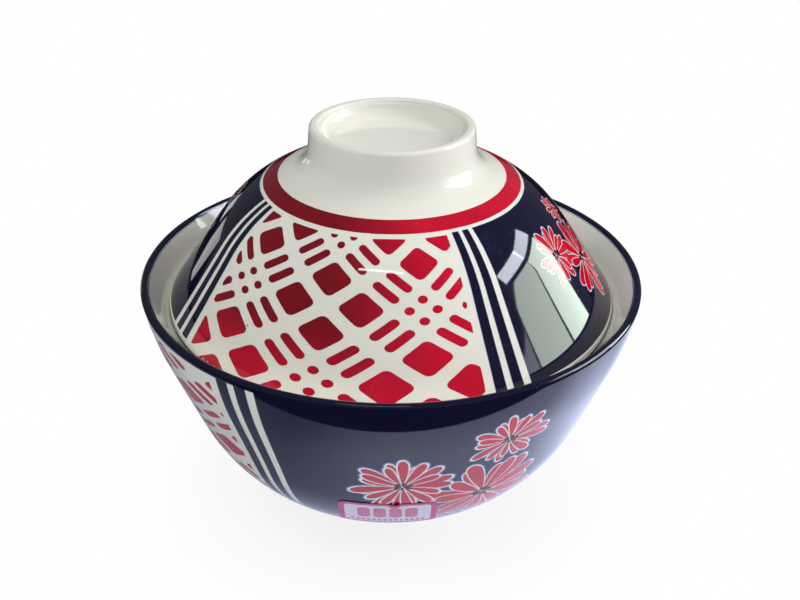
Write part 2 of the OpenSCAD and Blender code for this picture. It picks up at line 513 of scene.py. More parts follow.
class Tree:
    """A Geometry Nodes tree with named inputs, built a node at a time."""

    def __init__(self, name: str, sizes: dict[str, float]) -> None:
        """Make the tree and its inputs.

        Args:
            name: Name of the tree.
            sizes: Named numbers that it takes, with the value that each has by itself.
        """
        self.group = bpy.data.node_groups.new(name, "GeometryNodeTree")
        face = self.group.interface
        face.new_socket("Section", in_out="INPUT", socket_type="NodeSocketObject")
        face.new_socket("Finish", in_out="INPUT", socket_type="NodeSocketMaterial")
        for title, value in sizes.items():
            socket = face.new_socket(title, in_out="INPUT", socket_type="NodeSocketFloat")
            socket.default_value = value
        face.new_socket("Geometry", in_out="OUTPUT", socket_type="NodeSocketGeometry")
        self.entry = self.group.nodes.new("NodeGroupInput")
        self.exit = self.group.nodes.new("NodeGroupOutput")

    def node(self, kind: str, settings: dict[str, object] | None = None, **inputs: object) -> bpy.types.Node:
        """Add a node.

        Args:
            kind: Blender's name of the node.
            settings: Properties of the node.
            inputs: Values or sockets by the input's name, with spaces as underscores.

        Returns:
            The node.
        """
        made = self.group.nodes.new(kind)
        for key, value in (settings or {}).items():
            setattr(made, key, value)
        for key, value in inputs.items():
            title = key.replace("_", " ")
            socket = next(s for s in made.inputs if s.enabled and s.name == title)
            self.feed(socket, value)
        return made

    def feed(self, socket: bpy.types.NodeSocket, value: object) -> None:
        """Link or set an input socket.

        Args:
            socket: The socket.
            value: A field, another socket or a plain value.
        """
        source = value.source if isinstance(value, Field) else value
        if isinstance(source, bpy.types.NodeSocket):
            self.group.links.new(source, socket)
        else:
            socket.default_value = source

    def size(self, title: str) -> Field:
        """Return a named input as a field."""
        return Field(self, self.entry.outputs[title])

    def math(self, operation: str, *values: "Field | float") -> Field:
        """Work out one operation.

        Args:
            operation: Blender's name of the operation.
            values: One, two or three numbers or fields.

        Returns:
            The result as a field.
        """
        made = self.group.nodes.new("ShaderNodeMath")
        made.operation = operation
        for socket, value in zip(made.inputs, values):
            self.feed(socket, value)
        return Field(self, made.outputs[0])

    def least(self, a: "Field | float", b: "Field | float") -> Field:
        """Return the smaller of two numbers."""
        return self.math("MINIMUM", a, b)

    def most(self, a: "Field | float", b: "Field | float") -> Field:
        """Return the larger of two numbers."""
        return self.math("MAXIMUM", a, b)

    def vector(self, x: "Field | float", y: "Field | float", z: "Field | float") -> bpy.types.NodeSocket:
        """Return three numbers as one vector."""
        return self.node("ShaderNodeCombineXYZ", X=x, Y=y, Z=z).outputs[0]

    def parts(self, vector: bpy.types.NodeSocket) -> tuple[Field, Field, Field]:
        """Return a vector's three numbers."""
        made = self.node("ShaderNodeSeparateXYZ", Vector=vector)
        return tuple(Field(self, socket) for socket in made.outputs)

    def spot(self) -> tuple[Field, Field, Field]:
        """Return the place of each point."""
        return self.parts(self.node("GeometryNodeInputPosition").outputs[0])

    def copies(
        self, count: "Field | int", pieces: "tuple[Field | int, Field | int]"
    ) -> tuple[bpy.types.NodeSocket, Field]:
        """Lay copies of a flat slab over each other at the origin.

        Args:
            count: Number of copies.
            pieces: Number of rows of points across and along the slab, as numbers or fields.

        Returns:
            The slabs, which reach from -1 to 1 across and along and from 0 to 1 in thickness once
            half is added, and a field with the number of the copy that a point belongs to.
        """
        points = self.node("GeometryNodePoints", Count=count)
        index = self.node("GeometryNodeInputIndex").outputs[0]
        marked = self.node(
            "GeometryNodeStoreNamedAttribute", {"data_type": "FLOAT"}, Geometry=points.outputs[0],
            Name="copy", Value=index,
        )
        slab = self.node("GeometryNodeMeshCube", Size=(2, 2, 1), Vertices_X=pieces[0], Vertices_Y=pieces[1])
        placed = self.node("GeometryNodeInstanceOnPoints", Points=marked.outputs[0], Instance=slab.outputs[0])
        real = self.node("GeometryNodeRealizeInstances", Geometry=placed.outputs[0])
        number = self.node("GeometryNodeInputNamedAttribute", {"data_type": "FLOAT"}, Name="copy").outputs[0]
        return real.outputs[0], Field(self, number)

    def wander(self, azimuth: Field, down: Field, reach: Field) -> tuple[Field, Field]:
        """Work out the small shift across and down that a hand-laid print has at each place.

        Args:
            azimuth: Direction of the place round the axis, in radians.
            down: Length down the section.
            reach: Largest shift.

        Returns:
            The shift across and the shift down.
        """
        around = self.vector(self.math("COSINE", azimuth), self.math("SINE", azimuth), down / WANDER_R)
        noise = self.node("ShaderNodeTexNoise", Vector=around, Scale=WANDER_SCALE, Detail=1.0)
        side, fall, _ = self.parts(noise.outputs["Color"])
        return (side - 0.5) * reach * 2, (fall - 0.5) * reach * 2

    def laid(
        self, geometry: bpy.types.NodeSocket, azimuth: Field, across: "Field | float", down: Field,
        level: Field,
    ) -> bpy.types.NodeSocket:
        """Lay flat geometry on the turned surface.

        Args:
            geometry: The flat geometry.
            azimuth: Direction round the axis, in radians.
            across: Distance to the left of it along the surface.
            down: Length down the section.
            level: Height over the surface.

        Returns:
            The geometry in place, with its outward direction stored.
        """
        guide = self.node("GeometryNodeObjectInfo", Object=self.entry.outputs["Section"]).outputs["Geometry"]
        sample = self.node("GeometryNodeSampleCurve", {"mode": "LENGTH"}, Curves=guide, Length=down)
        radius, _, height = self.parts(sample.outputs["Position"])
        run, _, fall = self.parts(sample.outputs["Tangent"])
        out_r = fall * -1
        turn = azimuth + across / radius
        cos, sin = self.math("COSINE", turn), self.math("SINE", turn)
        reach = radius + out_r * level
        place = self.vector(reach * cos, reach * sin, height + run * level)
        kept = self.stored(geometry, self.vector(out_r * cos, out_r * sin, run))
        return self.node("GeometryNodeSetPosition", Geometry=kept, Position=place).outputs[0]

    def stored(self, geometry: bpy.types.NodeSocket, outward: bpy.types.NodeSocket) -> bpy.types.NodeSocket:
        """Store the outward direction on the points.

        Args:
            geometry: The geometry.
            outward: The outward direction at each point.

        Returns:
            The geometry with that direction stored.
        """
        made = self.node(
            "GeometryNodeStoreNamedAttribute", {"data_type": "FLOAT_VECTOR"}, Geometry=geometry,
            Name="outward", Value=outward,
        )
        return made.outputs[0]

    def film(self, place: Field, level: Field) -> Field:
        """Return the height of a film's points: its level on top, and a little under the glaze below."""
        return (place + 0.5) * level * MM - (0.5 - place) * FILM_SINK * MM

    def finished(self, geometry: bpy.types.NodeSocket) -> "Tree":
        """End the tree: instances are made real and the finish is set.

        Args:
            geometry: The last geometry.

        Returns:
            The tree itself.
        """
        real = self.node("GeometryNodeRealizeInstances", Geometry=geometry).outputs[0]
        clad = self.node("GeometryNodeSetMaterial", Geometry=real, Material=self.entry.outputs["Finish"])
        self.group.links.new(clad.outputs[0], self.exit.inputs["Geometry"])
        return self

    def grown(
        self, name: str, section: Section, finish: bpy.types.Material, **sizes: float
    ) -> bpy.types.Mesh:
        """Run the tree.

        Args:
            name: Name of the mesh.
            section: Section that it is laid on.
            finish: Material that it gets.
            sizes: Values of the tree's named inputs, with spaces as underscores.

        Returns:
            The result as a plain mesh.
        """
        thing = bpy.data.objects.new(name, bpy.data.meshes.new(name))
        bpy.context.scene.collection.objects.link(thing)
        modifier = thing.modifiers.new(name, "NODES")
        modifier.node_group = self.group
        values = {key.replace("_", " "): value for key, value in sizes.items()}
        values.update(Section=section.guide, Finish=finish)
        for item in self.group.interface.items_tree:
            if item.in_out == "INPUT" and item.name in values:
                modifier[item.identifier] = values.pop(item.name)
        if values:
            raise ValueError(f"{self.group.name} has no input named {sorted(values)}")
        ready = thing.evaluated_get(bpy.context.evaluated_depsgraph_get())
        mesh = bpy.data.meshes.new_from_object(ready)
        seed = thing.data
        bpy.data.objects.remove(thing)
        bpy.data.meshes.remove(seed)
        return mesh


def turned_tree() -> Tree:
    """Build the tree that turns a whole section into a body.

    Returns:
        The tree, which lays one row of points for each point of the section.
    """
    tree = Tree("turned_body", {"Rows": 100, "Steps": 288})
    rows, steps = tree.size("Rows"), tree.size("Steps")
    grid = tree.node("GeometryNodeMeshGrid", Size_X=1.0, Size_Y=1.0, Vertices_X=steps + 1, Vertices_Y=rows)
    x, y, _ = tree.spot()
    guide = tree.node("GeometryNodeObjectInfo", Object=tree.entry.outputs["Section"]).outputs["Geometry"]
    row = tree.math("ROUND", (y + 0.5) * (rows - 1))
    settings = {"data_type": "FLOAT_VECTOR", "domain": "POINT"}
    place = tree.node("GeometryNodeInputPosition").outputs[0]
    slope = tree.node("GeometryNodeInputTangent").outputs[0]
    spot = tree.node("GeometryNodeSampleIndex", settings, Geometry=guide, Value=place, Index=row)
    lean = tree.node("GeometryNodeSampleIndex", settings, Geometry=guide, Value=slope, Index=row)
    radius, _, height = tree.parts(spot.outputs[0])
    run, _, rise = tree.parts(lean.outputs[0])
    turn = x * math.tau
    cos, sin = tree.math("COSINE", turn), tree.math("SINE", turn)
    kept = tree.stored(grid.outputs[0], tree.vector(rise * cos, rise * sin, run * -1))
    spun = tree.vector(radius * cos, radius * sin, height)
    moved = tree.node("GeometryNodeSetPosition", Geometry=kept, Position=spun)
    closed = tree.node("GeometryNodeMergeByDistance", Geometry=moved.outputs[0], Distance=SEAM_GAP)
    return tree.finished(closed.outputs[0])


def strip_tree() -> Tree:
    """Build the tree of a painted strip: a band between two directions and two lengths, repeated.

    Returns:
        The tree.
    """
    sizes = {
        "Copies": 1, "Across": 12, "Along": 48, "Middle": 0, "Half": 10, "Top": 0, "Bottom": 10,
        "Level": 0.03, "Wander": 0.05,
    }
    tree = Tree("painted_strip", sizes)
    slabs, number = tree.copies(tree.size("Copies"), (tree.size("Across"), tree.size("Along")))
    x, y, z = tree.spot()
    turn = tree.size("Middle") - x * tree.size("Half") + number * 360 / tree.size("Copies")
    azimuth = turn * math.radians(1)
    top, bottom = tree.size("Top"), tree.size("Bottom")
    down = (top + (bottom - top) * (y + 1) / 2) * MM
    side, fall = tree.wander(azimuth, down, tree.size("Wander") * MM)
    level = tree.film(z, tree.size("Level"))
    return tree.finished(tree.laid(slabs, azimuth, side, down + fall, level))


def drawn_in(tree: Tree, reach: Field, side: Field, half: Field, other: Field, corner: Field) -> Field:
    """Draw a flat mark's point in where the mark's corner is rounded.

    Args:
        tree: The tree that works it out.
        reach: Distance of the point from the middle, along one axis.
        side: Its distance along the other axis.
        half: Half the mark's width along the first axis.
        other: Half its width along the other.
        corner: Radius of the mark's corners.

    Returns:
        The new distance along the first axis.
    """
    past = tree.most(reach - (half - corner), 0.0)
    beside = tree.most(side - (other - corner), 0.0) / corner
    return reach - past + past * tree.math("SQRT", 1 - beside * beside / 2)


def plaid_tree() -> Tree:
    """Build the tree of a panel of plaid.

    Wide and narrow bars cross in two slanting directions, and a mark stands wherever two cross: a
    rounded lozenge, a dash or a dot. Each mark is clipped by the panel's edges.

    Returns:
        The tree.
    """
    sizes = {
        "Columns": 24, "Copies": 2, "Panel": 0, "Half": 38.9, "Top": 27.2, "Bottom": 74, "Lattice": 0,
        "Origin": 47.5, "Run": 27.5, "Fall": 20.2, "Wide": 0.128, "Narrow": 0.038, "Wide place": 0.183,
        "Narrow place": 0.4285, "Corner": 0.05, "Level": 0.03, "Wander": 0.05,
    }
    tree = Tree("painted_plaid", sizes)
    columns = tree.size("Columns")
    each = columns * columns
    mark_points = (11, 11)
    slabs, number = tree.copies(each * tree.size("Copies"), mark_points)
    x, y, z = tree.spot()
    panel = tree.math("FLOOR", (number + 0.5) / each)
    cell = number - panel * each
    column = tree.math("FLOOR", (cell + 0.5) / columns)
    row = cell - column * columns

    def bar(index: Field) -> tuple[Field, Field]:
        """Place a bar, of which four make one period.

        Args:
            index: Number of the bar.

        Returns:
            The place of the bar and half its width.
        """
        period = tree.math("FLOOR", (index + 0.5) / 4)
        slot = index - period * 4 - 1.5
        wide = tree.math("LESS_THAN", tree.math("ABSOLUTE", slot), 1.0)
        sign = tree.math("SIGN", slot)
        offset = wide * tree.size("Wide place") + (1 - wide) * tree.size("Narrow place")
        width = wide * tree.size("Wide") + (1 - wide) * tree.size("Narrow")
        return period - columns / 8 + sign * offset, width

    p, half_p = bar(column)
    q, half_q = bar(row)
    corner = tree.least(tree.size("Corner"), tree.least(half_p, half_q))

    def rounded(u: Field, v: Field, half: Field, other: Field) -> Field:
        """Place a point along one axis of a rounded mark, with finer steps towards the edge.

        Args:
            u: Place along this axis, from -1 to 1.
            v: Place along the other axis.
            half: Half the mark's width along this axis.
            other: Half its width along the other.

        Returns:
            The distance from the middle, with its sign.
        """
        reach = tree.math("SINE", tree.math("ABSOLUTE", u) * (math.pi / 2)) * half
        side = tree.math("SINE", tree.math("ABSOLUTE", v) * (math.pi / 2)) * other
        return drawn_in(tree, reach, side, half, other, corner) * tree.math("SIGN", u)

    mark_p = rounded(x, y, half_p, half_q)
    mark_q = rounded(y, x, half_q, half_p)
    run, fall = tree.size("Run"), tree.size("Fall")
    half, top, bottom = tree.size("Half"), tree.size("Top"), tree.size("Bottom")
    shift = tree.size("Lattice") - tree.size("Panel")
    middle_turn = shift + (p + q) * run
    middle_down = tree.size("Origin") + (p - q) * fall
    tuck = 0.8
    span = (half_p + half_q) * tuck
    hair = 0.05

    def need(value: Field, low: "Field | float", high: "Field | float", reach: Field) -> Field:
        """Find how far a mark's centre has to move to lie inside.

        Args:
            value: Place of the mark's centre.
            low: Lower limit.
            high: Upper limit.
            reach: Half the size of the mark.

        Returns:
            The share of the mark, with its sign.
        """
        over = tree.most(value - (high - hair), 0.0)
        short = tree.most(low + hair - value, 0.0)
        return (short - over) / reach

    turn_need = need(middle_turn, half * -1, half, span * run)
    down_need = need(middle_down, top, bottom, span * fall)
    shift_p = (turn_need + down_need) * half_p * tuck
    shift_q = (turn_need - down_need) * half_q * tuck
    anchor_turn = shift + (p + shift_p + q + shift_q) * run
    anchor_down = tree.size("Origin") + (p + shift_p - q - shift_q) * fall
    step_turn = (mark_p - shift_p + mark_q - shift_q) * run
    step_down = (mark_p - shift_p - mark_q + shift_q) * fall

    def kept(anchor: Field, step: Field, low: "Field | float", high: "Field | float") -> Field:
        """Find how much of a step stays inside two limits.

        Args:
            anchor: Where the step starts.
            step: The step, with its sign.
            low: Lower limit.
            high: Upper limit.

        Returns:
            The share of the step, at most 1.
        """
        shortest = 0.0001
        right = tree.math("GREATER_THAN", step, 0.0)
        room = right * (high - anchor) + (1 - right) * (anchor - low)
        return tree.least(room / tree.most(tree.math("ABSOLUTE", step), shortest), 1.0)

    share = tree.least(
        kept(anchor_turn, step_turn, half * -1, half), kept(anchor_down, step_down, top, bottom)
    )
    turn = anchor_turn + step_turn * share + tree.size("Panel") + panel * 360 / tree.size("Copies")
    down = (anchor_down + step_down * share) * MM
    outside = tree.math("ABSOLUTE", turn_need) + tree.math("ABSOLUTE", down_need)
    lost_share = 1.15
    gone = tree.math("GREATER_THAN", outside, lost_share)
    trimmed = tree.node("GeometryNodeDeleteGeometry", {"domain": "POINT"}, Geometry=slabs, Selection=gone)
    azimuth = turn * math.radians(1)
    side, drift = tree.wander(azimuth, down, tree.size("Wander") * MM)
    level = tree.film(z, tree.size("Level"))
    laid = tree.laid(trimmed.outputs[0], azimuth, side, down + drift, level)
    return tree.finished(laid)


def petal_tree() -> Tree:
    """Build the tree of a bloom's petals: long drops round a centre.

    Their reach differs to the right, to the left, up and down.

    Returns:
        The tree.
    """
    # How much the petals differ in direction, length and bend, and how fast the difference runs.
    turn_share, reach_share, bend_share = 0.24, 0.14, 0.06
    turn_beat, reach_beat = 2.4, 4.1
    # The outline of a petal: how soon it swells, and what brings its widest place to 1.
    swell_power, swell_gain = 0.8, 1.51
    sizes = {
        "Copies": 2, "Petals": 16, "Azimuth": 0, "Down": 30, "Right": 10, "Left": 10, "Up": 10,
        "Below": 10, "Start": 0, "Width": 0.9, "Margin": 0, "Tip": 0, "Turn": 0, "Level": 0.05,
        "Rise": 0.03, "Wander": 0.1,
    }
    tree = Tree("painted_petals", sizes)
    petals = tree.size("Petals")
    petal_points = (7, 17)
    slabs, number = tree.copies(petals * tree.size("Copies"), petal_points)
    x, y, z = tree.spot()
    bloom = tree.math("FLOOR", (number + 0.5) / petals)
    petal = number - bloom * petals
    jitter = tree.math("SINE", petal * turn_beat + tree.size("Turn"))
    second = tree.math("SINE", petal * reach_beat + tree.size("Turn") * 3)
    spacing = math.tau / petals
    angle = (petal + jitter * turn_share) * spacing + tree.size("Turn")
    cos, sin = tree.math("COSINE", angle), tree.math("SINE", angle)
    right = tree.math("GREATER_THAN", cos, 0.0)
    above = tree.math("GREATER_THAN", sin, 0.0)
    across = right * tree.size("Right") + (1 - right) * tree.size("Left")
    along = above * tree.size("Up") + (1 - above) * tree.size("Below")
    a, b = cos / across, sin / along
    reach = (1 + second * reach_share) / tree.math("SQRT", a * a + b * b)
    start = tree.size("Start")
    t = tree.math("SINE", (y + 1) * (math.pi / 4))
    closing = tree.math("SQRT", tree.most(1 - t * t * t * t, 0.0))
    swell = tree.math("POWER", t, swell_power) * closing * swell_gain
    width = spacing * reach * 0.5 * tree.size("Width")
    margin = tree.size("Margin")
    out = start + (reach + tree.size("Tip") - start) * t
    bend = second * reach * bend_share * t * t
    side = x * swell * (width + margin) * -1 + bend
    left = (out * cos - side * sin) * MM
    fall = (out * sin + side * cos) * -1 * MM
    azimuth = (tree.size("Azimuth") + bloom * 360 / tree.size("Copies")) * math.radians(1)
    down = tree.size("Down") * MM + fall
    drift, sink = tree.wander(azimuth + left / WANDER_R, down, tree.size("Wander") * MM)
    layer = petal - tree.math("FLOOR", (petal + 0.5) / 2) * 2
    level = tree.film(z, tree.size("Level") + layer * tree.size("Rise"))
    return tree.finished(tree.laid(slabs, azimuth, left + drift, down + sink, level))


def patch_tree() -> Tree:
    """Build the tree of a small sheet with rounded corners, or of a row of them.

    Returns:
        The tree.
    """
    sizes = {
        "Azimuth": -90, "Down": 50, "Width": 28, "Height": 18, "Corner": 2.2, "Base": 0.03, "Level": 0.19,
        "Buckle": 0.0, "Buckle place": 2.0, "Copies": 1, "Pitch": 0, "Across": 73, "Along": 49,
    }
    tree = Tree("paper_patch", sizes)
    copies = tree.size("Copies")
    slabs, number = tree.copies(copies, (tree.size("Across"), tree.size("Along")))
    x, y, z = tree.spot()
    half_w, half_h, corner = tree.size("Width") / 2, tree.size("Height") / 2, tree.size("Corner")

    def rounded(u: Field, v: Field, half: Field, other: Field) -> Field:
        """Place a point along one axis of the sheet.

        Args:
            u: Place along this axis, from -1 to 1.
            v: Place along the other axis.
            half: Half the sheet's width along this axis.
            other: Half its width along the other.

        Returns:
            The distance from the middle, with its sign.
        """
        reach, side = tree.math("ABSOLUTE", u) * half, tree.math("ABSOLUTE", v) * other
        return drawn_in(tree, reach, side, half, other, corner) * tree.math("SIGN", u)

    across = rounded(x, y, half_w, half_h) * -1 + (number - (copies - 1) / 2) * tree.size("Pitch")
    drop = rounded(y, x, half_h, half_w)
    buckle_half_w, buckle_depth = 1.1, 3.2
    near = (across - tree.size("Buckle place")) / buckle_half_w
    depth = tree.most(1 - (drop + half_h) / buckle_depth, 0.0)
    lift = tree.size("Buckle") * depth * depth / (1 + near * near * near * near)
    level = (tree.size("Base") + (z + 0.5) * (tree.size("Level") - tree.size("Base")) + lift) * MM
    azimuth = tree.size("Azimuth") * math.radians(1)
    laid = tree.laid(slabs, azimuth, across * MM, (tree.size("Down") + half_h + drop) * MM, level)
    return tree.finished(laid)


class Effects:
    """The shader groups that the finishes share."""

    def __init__(self) -> None:
        """Build each group once."""
        self.glaze = self.glaze_surface()
        self.pigment = self.pigment_depth()

    @staticmethod
    def group(name: str, numbers: dict[str, float], outputs: list[str]) -> bpy.types.NodeTree:
        """Make an empty shader group with named inputs and outputs.

        Args:
            name: Name of the group.
            numbers: Inputs and their values.
            outputs: Names of the outputs, all numbers.

        Returns:
            The group, without its nodes.
        """
        made = bpy.data.node_groups.new(name, "ShaderNodeTree")
        for title, value in numbers.items():
            socket = made.interface.new_socket(title, in_out="INPUT", socket_type="NodeSocketFloat")
            socket.default_value = value
        for title in outputs:
            made.interface.new_socket(title, in_out="OUTPUT", socket_type="NodeSocketFloat")
        return made

    @classmethod
    def glaze_surface(cls) -> bpy.types.NodeTree:
        """Build the group for a fired glaze: soft waves, fine pits, smears in the gloss and a clouded tone.

        Returns:
            The group.
        """
        numbers = {"Wave": 1.0, "Pits": 1.0, "Gloss": 0.07, "Smear": 0.05}
        made = cls.group("glaze_surface", numbers, ["Height", "Roughness", "Tone", "Speck"])
        nodes, link = made.nodes, made.links.new
        entry, leave = nodes.new("NodeGroupInput"), nodes.new("NodeGroupOutput")
        place = nodes.new("ShaderNodeTexCoord").outputs["Object"]

        def noise(scale: float, detail: float) -> bpy.types.NodeSocket:
            """Add a noise over the object.

            Args:
                scale: Its fineness.
                detail: Its detail.

            Returns:
                Its value.
            """
            cloud = nodes.new("ShaderNodeTexNoise")
            cloud.inputs["Scale"].default_value = scale
            cloud.inputs["Detail"].default_value = detail
            link(place, cloud.inputs["Vector"])
            return cloud.outputs["Fac"]

        def math_node(operation: str, *values: "bpy.types.NodeSocket | float") -> bpy.types.NodeSocket:
            """Add one operation.

            Args:
                operation: Blender's name of the operation.
                values: Sockets or numbers.

            Returns:
                Its result.
            """
            node = nodes.new("ShaderNodeMath")
            node.operation = operation
            for socket, value in zip(node.inputs, values):
                if isinstance(value, bpy.types.NodeSocket):
                    link(value, socket)
                else:
                    socket.default_value = value
            return node.outputs[0]

        tooth_height, pit_height, pit_r, bare_share = 0.02, -0.25, 0.1, 0.955
        wave = math_node("MULTIPLY", noise(scale=70.0, detail=1.0), entry.outputs["Wave"])
        fine = math_node("MULTIPLY", noise(scale=900.0, detail=0.0), tooth_height)
        cells = nodes.new("ShaderNodeTexVoronoi")
        cells.inputs["Scale"].default_value = 330.0
        link(place, cells.inputs["Vector"])
        dot = math_node("LESS_THAN", cells.outputs["Distance"], pit_r)
        rare = nodes.new("ShaderNodeSeparateColor")
        link(cells.outputs["Color"], rare.inputs[0])
        few = math_node("GREATER_THAN", rare.outputs[0], bare_share)
        speck = math_node("MULTIPLY", dot, few)
        pit = math_node("MULTIPLY", math_node("MULTIPLY", speck, entry.outputs["Pits"]), pit_height)
        link(math_node("ADD", math_node("ADD", wave, fine), pit), leave.inputs["Height"])
        smear = math_node("MULTIPLY", noise(scale=45.0, detail=4.0), entry.outputs["Smear"])
        link(math_node("ADD", smear, entry.outputs["Gloss"]), leave.inputs["Roughness"])
        link(noise(scale=26.0, detail=3.0), leave.inputs["Tone"])
        link(speck, leave.inputs["Speck"])
        return made

    @classmethod
    def pigment_depth(cls) -> bpy.types.NodeTree:
        """Build the group for printed colour: uneven depth, with a fine grain where it lies thin.

        Returns:
            The group.
        """
        made = cls.group("pigment_depth", {"Cloud": 90.0, "Grain": 1400.0}, ["Depth", "Thin"])
        nodes, link = made.nodes, made.links.new
        entry, leave = nodes.new("NodeGroupInput"), nodes.new("NodeGroupOutput")
        place = nodes.new("ShaderNodeTexCoord").outputs["Object"]
        cloud = nodes.new("ShaderNodeTexNoise")
        cloud.inputs["Detail"].default_value = 5.0
        link(entry.outputs["Cloud"], cloud.inputs["Scale"])
        link(place, cloud.inputs["Vector"])
        link(cloud.outputs["Fac"], leave.inputs["Depth"])
        cells = nodes.new("ShaderNodeTexVoronoi")
        link(entry.outputs["Grain"], cells.inputs["Scale"])
        link(place, cells.inputs["Vector"])
        ramp = nodes.new("ShaderNodeMapRange")
        ramp.inputs["From Min"].default_value = 0.3
        ramp.inputs["From Max"].default_value = 0.08
        link(cells.outputs["Distance"], ramp.inputs["Value"])
        patch = nodes.new("ShaderNodeMapRange")
        patch.inputs["From Min"].default_value = 0.56
        patch.inputs["From Max"].default_value = 0.75
        link(cloud.outputs["Fac"], patch.inputs["Value"])
        both = nodes.new("ShaderNodeMath")
        both.operation = "MULTIPLY"
        link(ramp.outputs[0], both.inputs[0])
        link(patch.outputs[0], both.inputs[1])
        link(both.outputs[0], leave.inputs["Thin"])
        return made


class Coat:
    """A material under construction, with its shader and helpers that add nodes."""

    def __init__(self, name: str) -> None:
        """Start a material with a plain shader.

        Args:
            name: Name of the material.
        """
        self.material = bpy.data.materials.new(name)
        self.material.use_nodes = True
        self.nodes = self.material.node_tree.nodes
        self.shader = self.nodes["Principled BSDF"]

    def link(self, source: bpy.types.NodeSocket, target: bpy.types.NodeSocket) -> None:
        """Link two sockets."""
        self.material.node_tree.links.new(source, target)

    def set(self, **values: object) -> None:
        """Set the shader's own sockets, with spaces in their names as underscores."""
        for key, value in values.items():
            self.shader.inputs[key.replace("_", " ")].default_value = value

    def placed(self, group: bpy.types.NodeTree, **values: float) -> bpy.types.Node:
        """Place a shared group in this material with its own values.

        Args:
            group: The group.
            values: Values of its inputs.

        Returns:
            The group's node.
        """
        node = self.nodes.new("ShaderNodeGroup")
        node.node_tree = group
        for key, value in values.items():
            node.inputs[key].default_value = value
        return node

    def mixed(
        self, share: bpy.types.NodeSocket, a: "bpy.types.NodeSocket | Colour",
        b: "bpy.types.NodeSocket | Colour",
    ) -> bpy.types.NodeSocket:
        """Mix two colours.

        Args:
            share: Share of the second colour, which changes over the surface.
            a: The first colour.
            b: The second colour.

        Returns:
            The mixed colour.
        """
        node = self.nodes.new("ShaderNodeMix")
        node.data_type = "RGBA"
        node.clamp_factor = True
        self.link(share, node.inputs["Factor"])
        for socket, value in ((node.inputs[MIX_FIRST], a), (node.inputs[MIX_SECOND], b)):
            if isinstance(value, bpy.types.NodeSocket):
                self.link(value, socket)
            else:
                socket.default_value = (*value, 1)
        return node.outputs[MIX_RESULT]

    def ramp(self, source: bpy.types.NodeSocket, reach: Point, values: Point) -> bpy.types.NodeSocket:
        """Make a value that changes smoothly from one to another.

        Args:
            source: What it follows.
            reach: The source's values between which it changes.
            values: What it is at the two ends.

        Returns:
            The value.
        """
        node = self.nodes.new("ShaderNodeMapRange")
        node.interpolation_type = "SMOOTHSTEP"
        for title, value in zip(("From Min", "From Max", "To Min", "To Max"), (*reach, *values)):
            node.inputs[title].default_value = value
        self.link(source, node.inputs["Value"])
        return node.outputs[0]

    def times(self, a: bpy.types.NodeSocket, b: bpy.types.NodeSocket) -> bpy.types.NodeSocket:
        """Multiply two values.

        Args:
            a: The first value.
            b: The second value.

        Returns:
            Their product.
        """
        node = self.nodes.new("ShaderNodeMath")
        node.operation = "MULTIPLY"
        self.link(a, node.inputs[0])
        self.link(b, node.inputs[1])
        return node.outputs[0]

    def bumped(self, height: bpy.types.NodeSocket, depth: float, strength: float = 1.0) -> None:
        """Feed a height to the shader's normal.

        Args:
            height: The height, from 0 to 1.
            depth: What a height of 1 measures, in metres.
            strength: Strength of the bump.
        """
        bump = self.nodes.new("ShaderNodeBump")
        bump.inputs["Distance"].default_value = depth
        bump.inputs["Strength"].default_value = strength
        self.link(height, bump.inputs["Height"])
        self.link(bump.outputs[0], self.shader.inputs["Normal"])


@dataclass(frozen=True)
class Glaze:
    """Clear gloss glaze over white porcelain or over a printed colour.

    The shade is painted shade: a printed colour is mixed towards a darker tone high on the left of the
    object, standing in for the weaker light there.
    """

    name: str
    deep: Colour
    light: Colour
    fleck: Colour
    # Painted shade: the darker colour that a print is mixed towards high on the left of the object.
    shade: Colour | None = None
    painted_shade_across: Point = (-0.018, 0.013)
    painted_shade_across_share: Point = (0.95, 0.0)
    painted_shade_rise: Point = (0.08, 0.092)
    painted_shade_rise_share: Point = (0.2, 1.0)
    wave: float = 0.25
    gloss: float = 0.035
    smear: float = 0.03
    relief: float = 0.00004
    ior: float = 1.58

    def with_painted_shade(self, coat: Coat, tone: bpy.types.NodeSocket) -> bpy.types.NodeSocket:
        """Mix the painted shade into a printed colour, high on the left of the object.

        Args:
            coat: The material under construction.
            tone: The colour so far.

        Returns:
            The colour with its shade.
        """
        place = coat.nodes.new("ShaderNodeSeparateXYZ")
        coat.link(coat.nodes.new("ShaderNodeTexCoord").outputs["Object"], place.inputs[0])
        left = coat.ramp(place.outputs["X"], self.painted_shade_across, self.painted_shade_across_share)
        high = coat.ramp(place.outputs["Z"], self.painted_shade_rise, self.painted_shade_rise_share)
        return coat.mixed(coat.times(left, high), tone, self.shade)

    def material(self, effects: Effects, is_print: bool) -> bpy.types.Material:
        """Build the finish.

        Args:
            effects: The shared shader groups.
            is_print: True for a printed colour, which has its own uneven depth under the glaze.

        Returns:
            The material.
        """
        coat = Coat(self.name)
        surface = coat.placed(effects.glaze, Wave=self.wave, Gloss=self.gloss, Smear=self.smear)
        if is_print:
            pigment = coat.placed(effects.pigment)
            tone = coat.mixed(pigment.outputs["Depth"], self.deep, self.light)
            tone = coat.mixed(pigment.outputs["Thin"], tone, self.fleck)
            # Painted shade darkens the print high on the left of the object.
            if self.shade:
                tone = self.with_painted_shade(coat, tone)
        else:
            tone = coat.mixed(surface.outputs["Tone"], self.deep, self.light)
            tone = coat.mixed(surface.outputs["Speck"], tone, self.fleck)
        coat.link(tone, coat.shader.inputs["Base Color"])
        coat.link(surface.outputs["Roughness"], coat.shader.inputs["Roughness"])
        coat.bumped(surface.outputs["Height"], self.relief)
        coat.set(IOR=self.ior)
        return coat.material


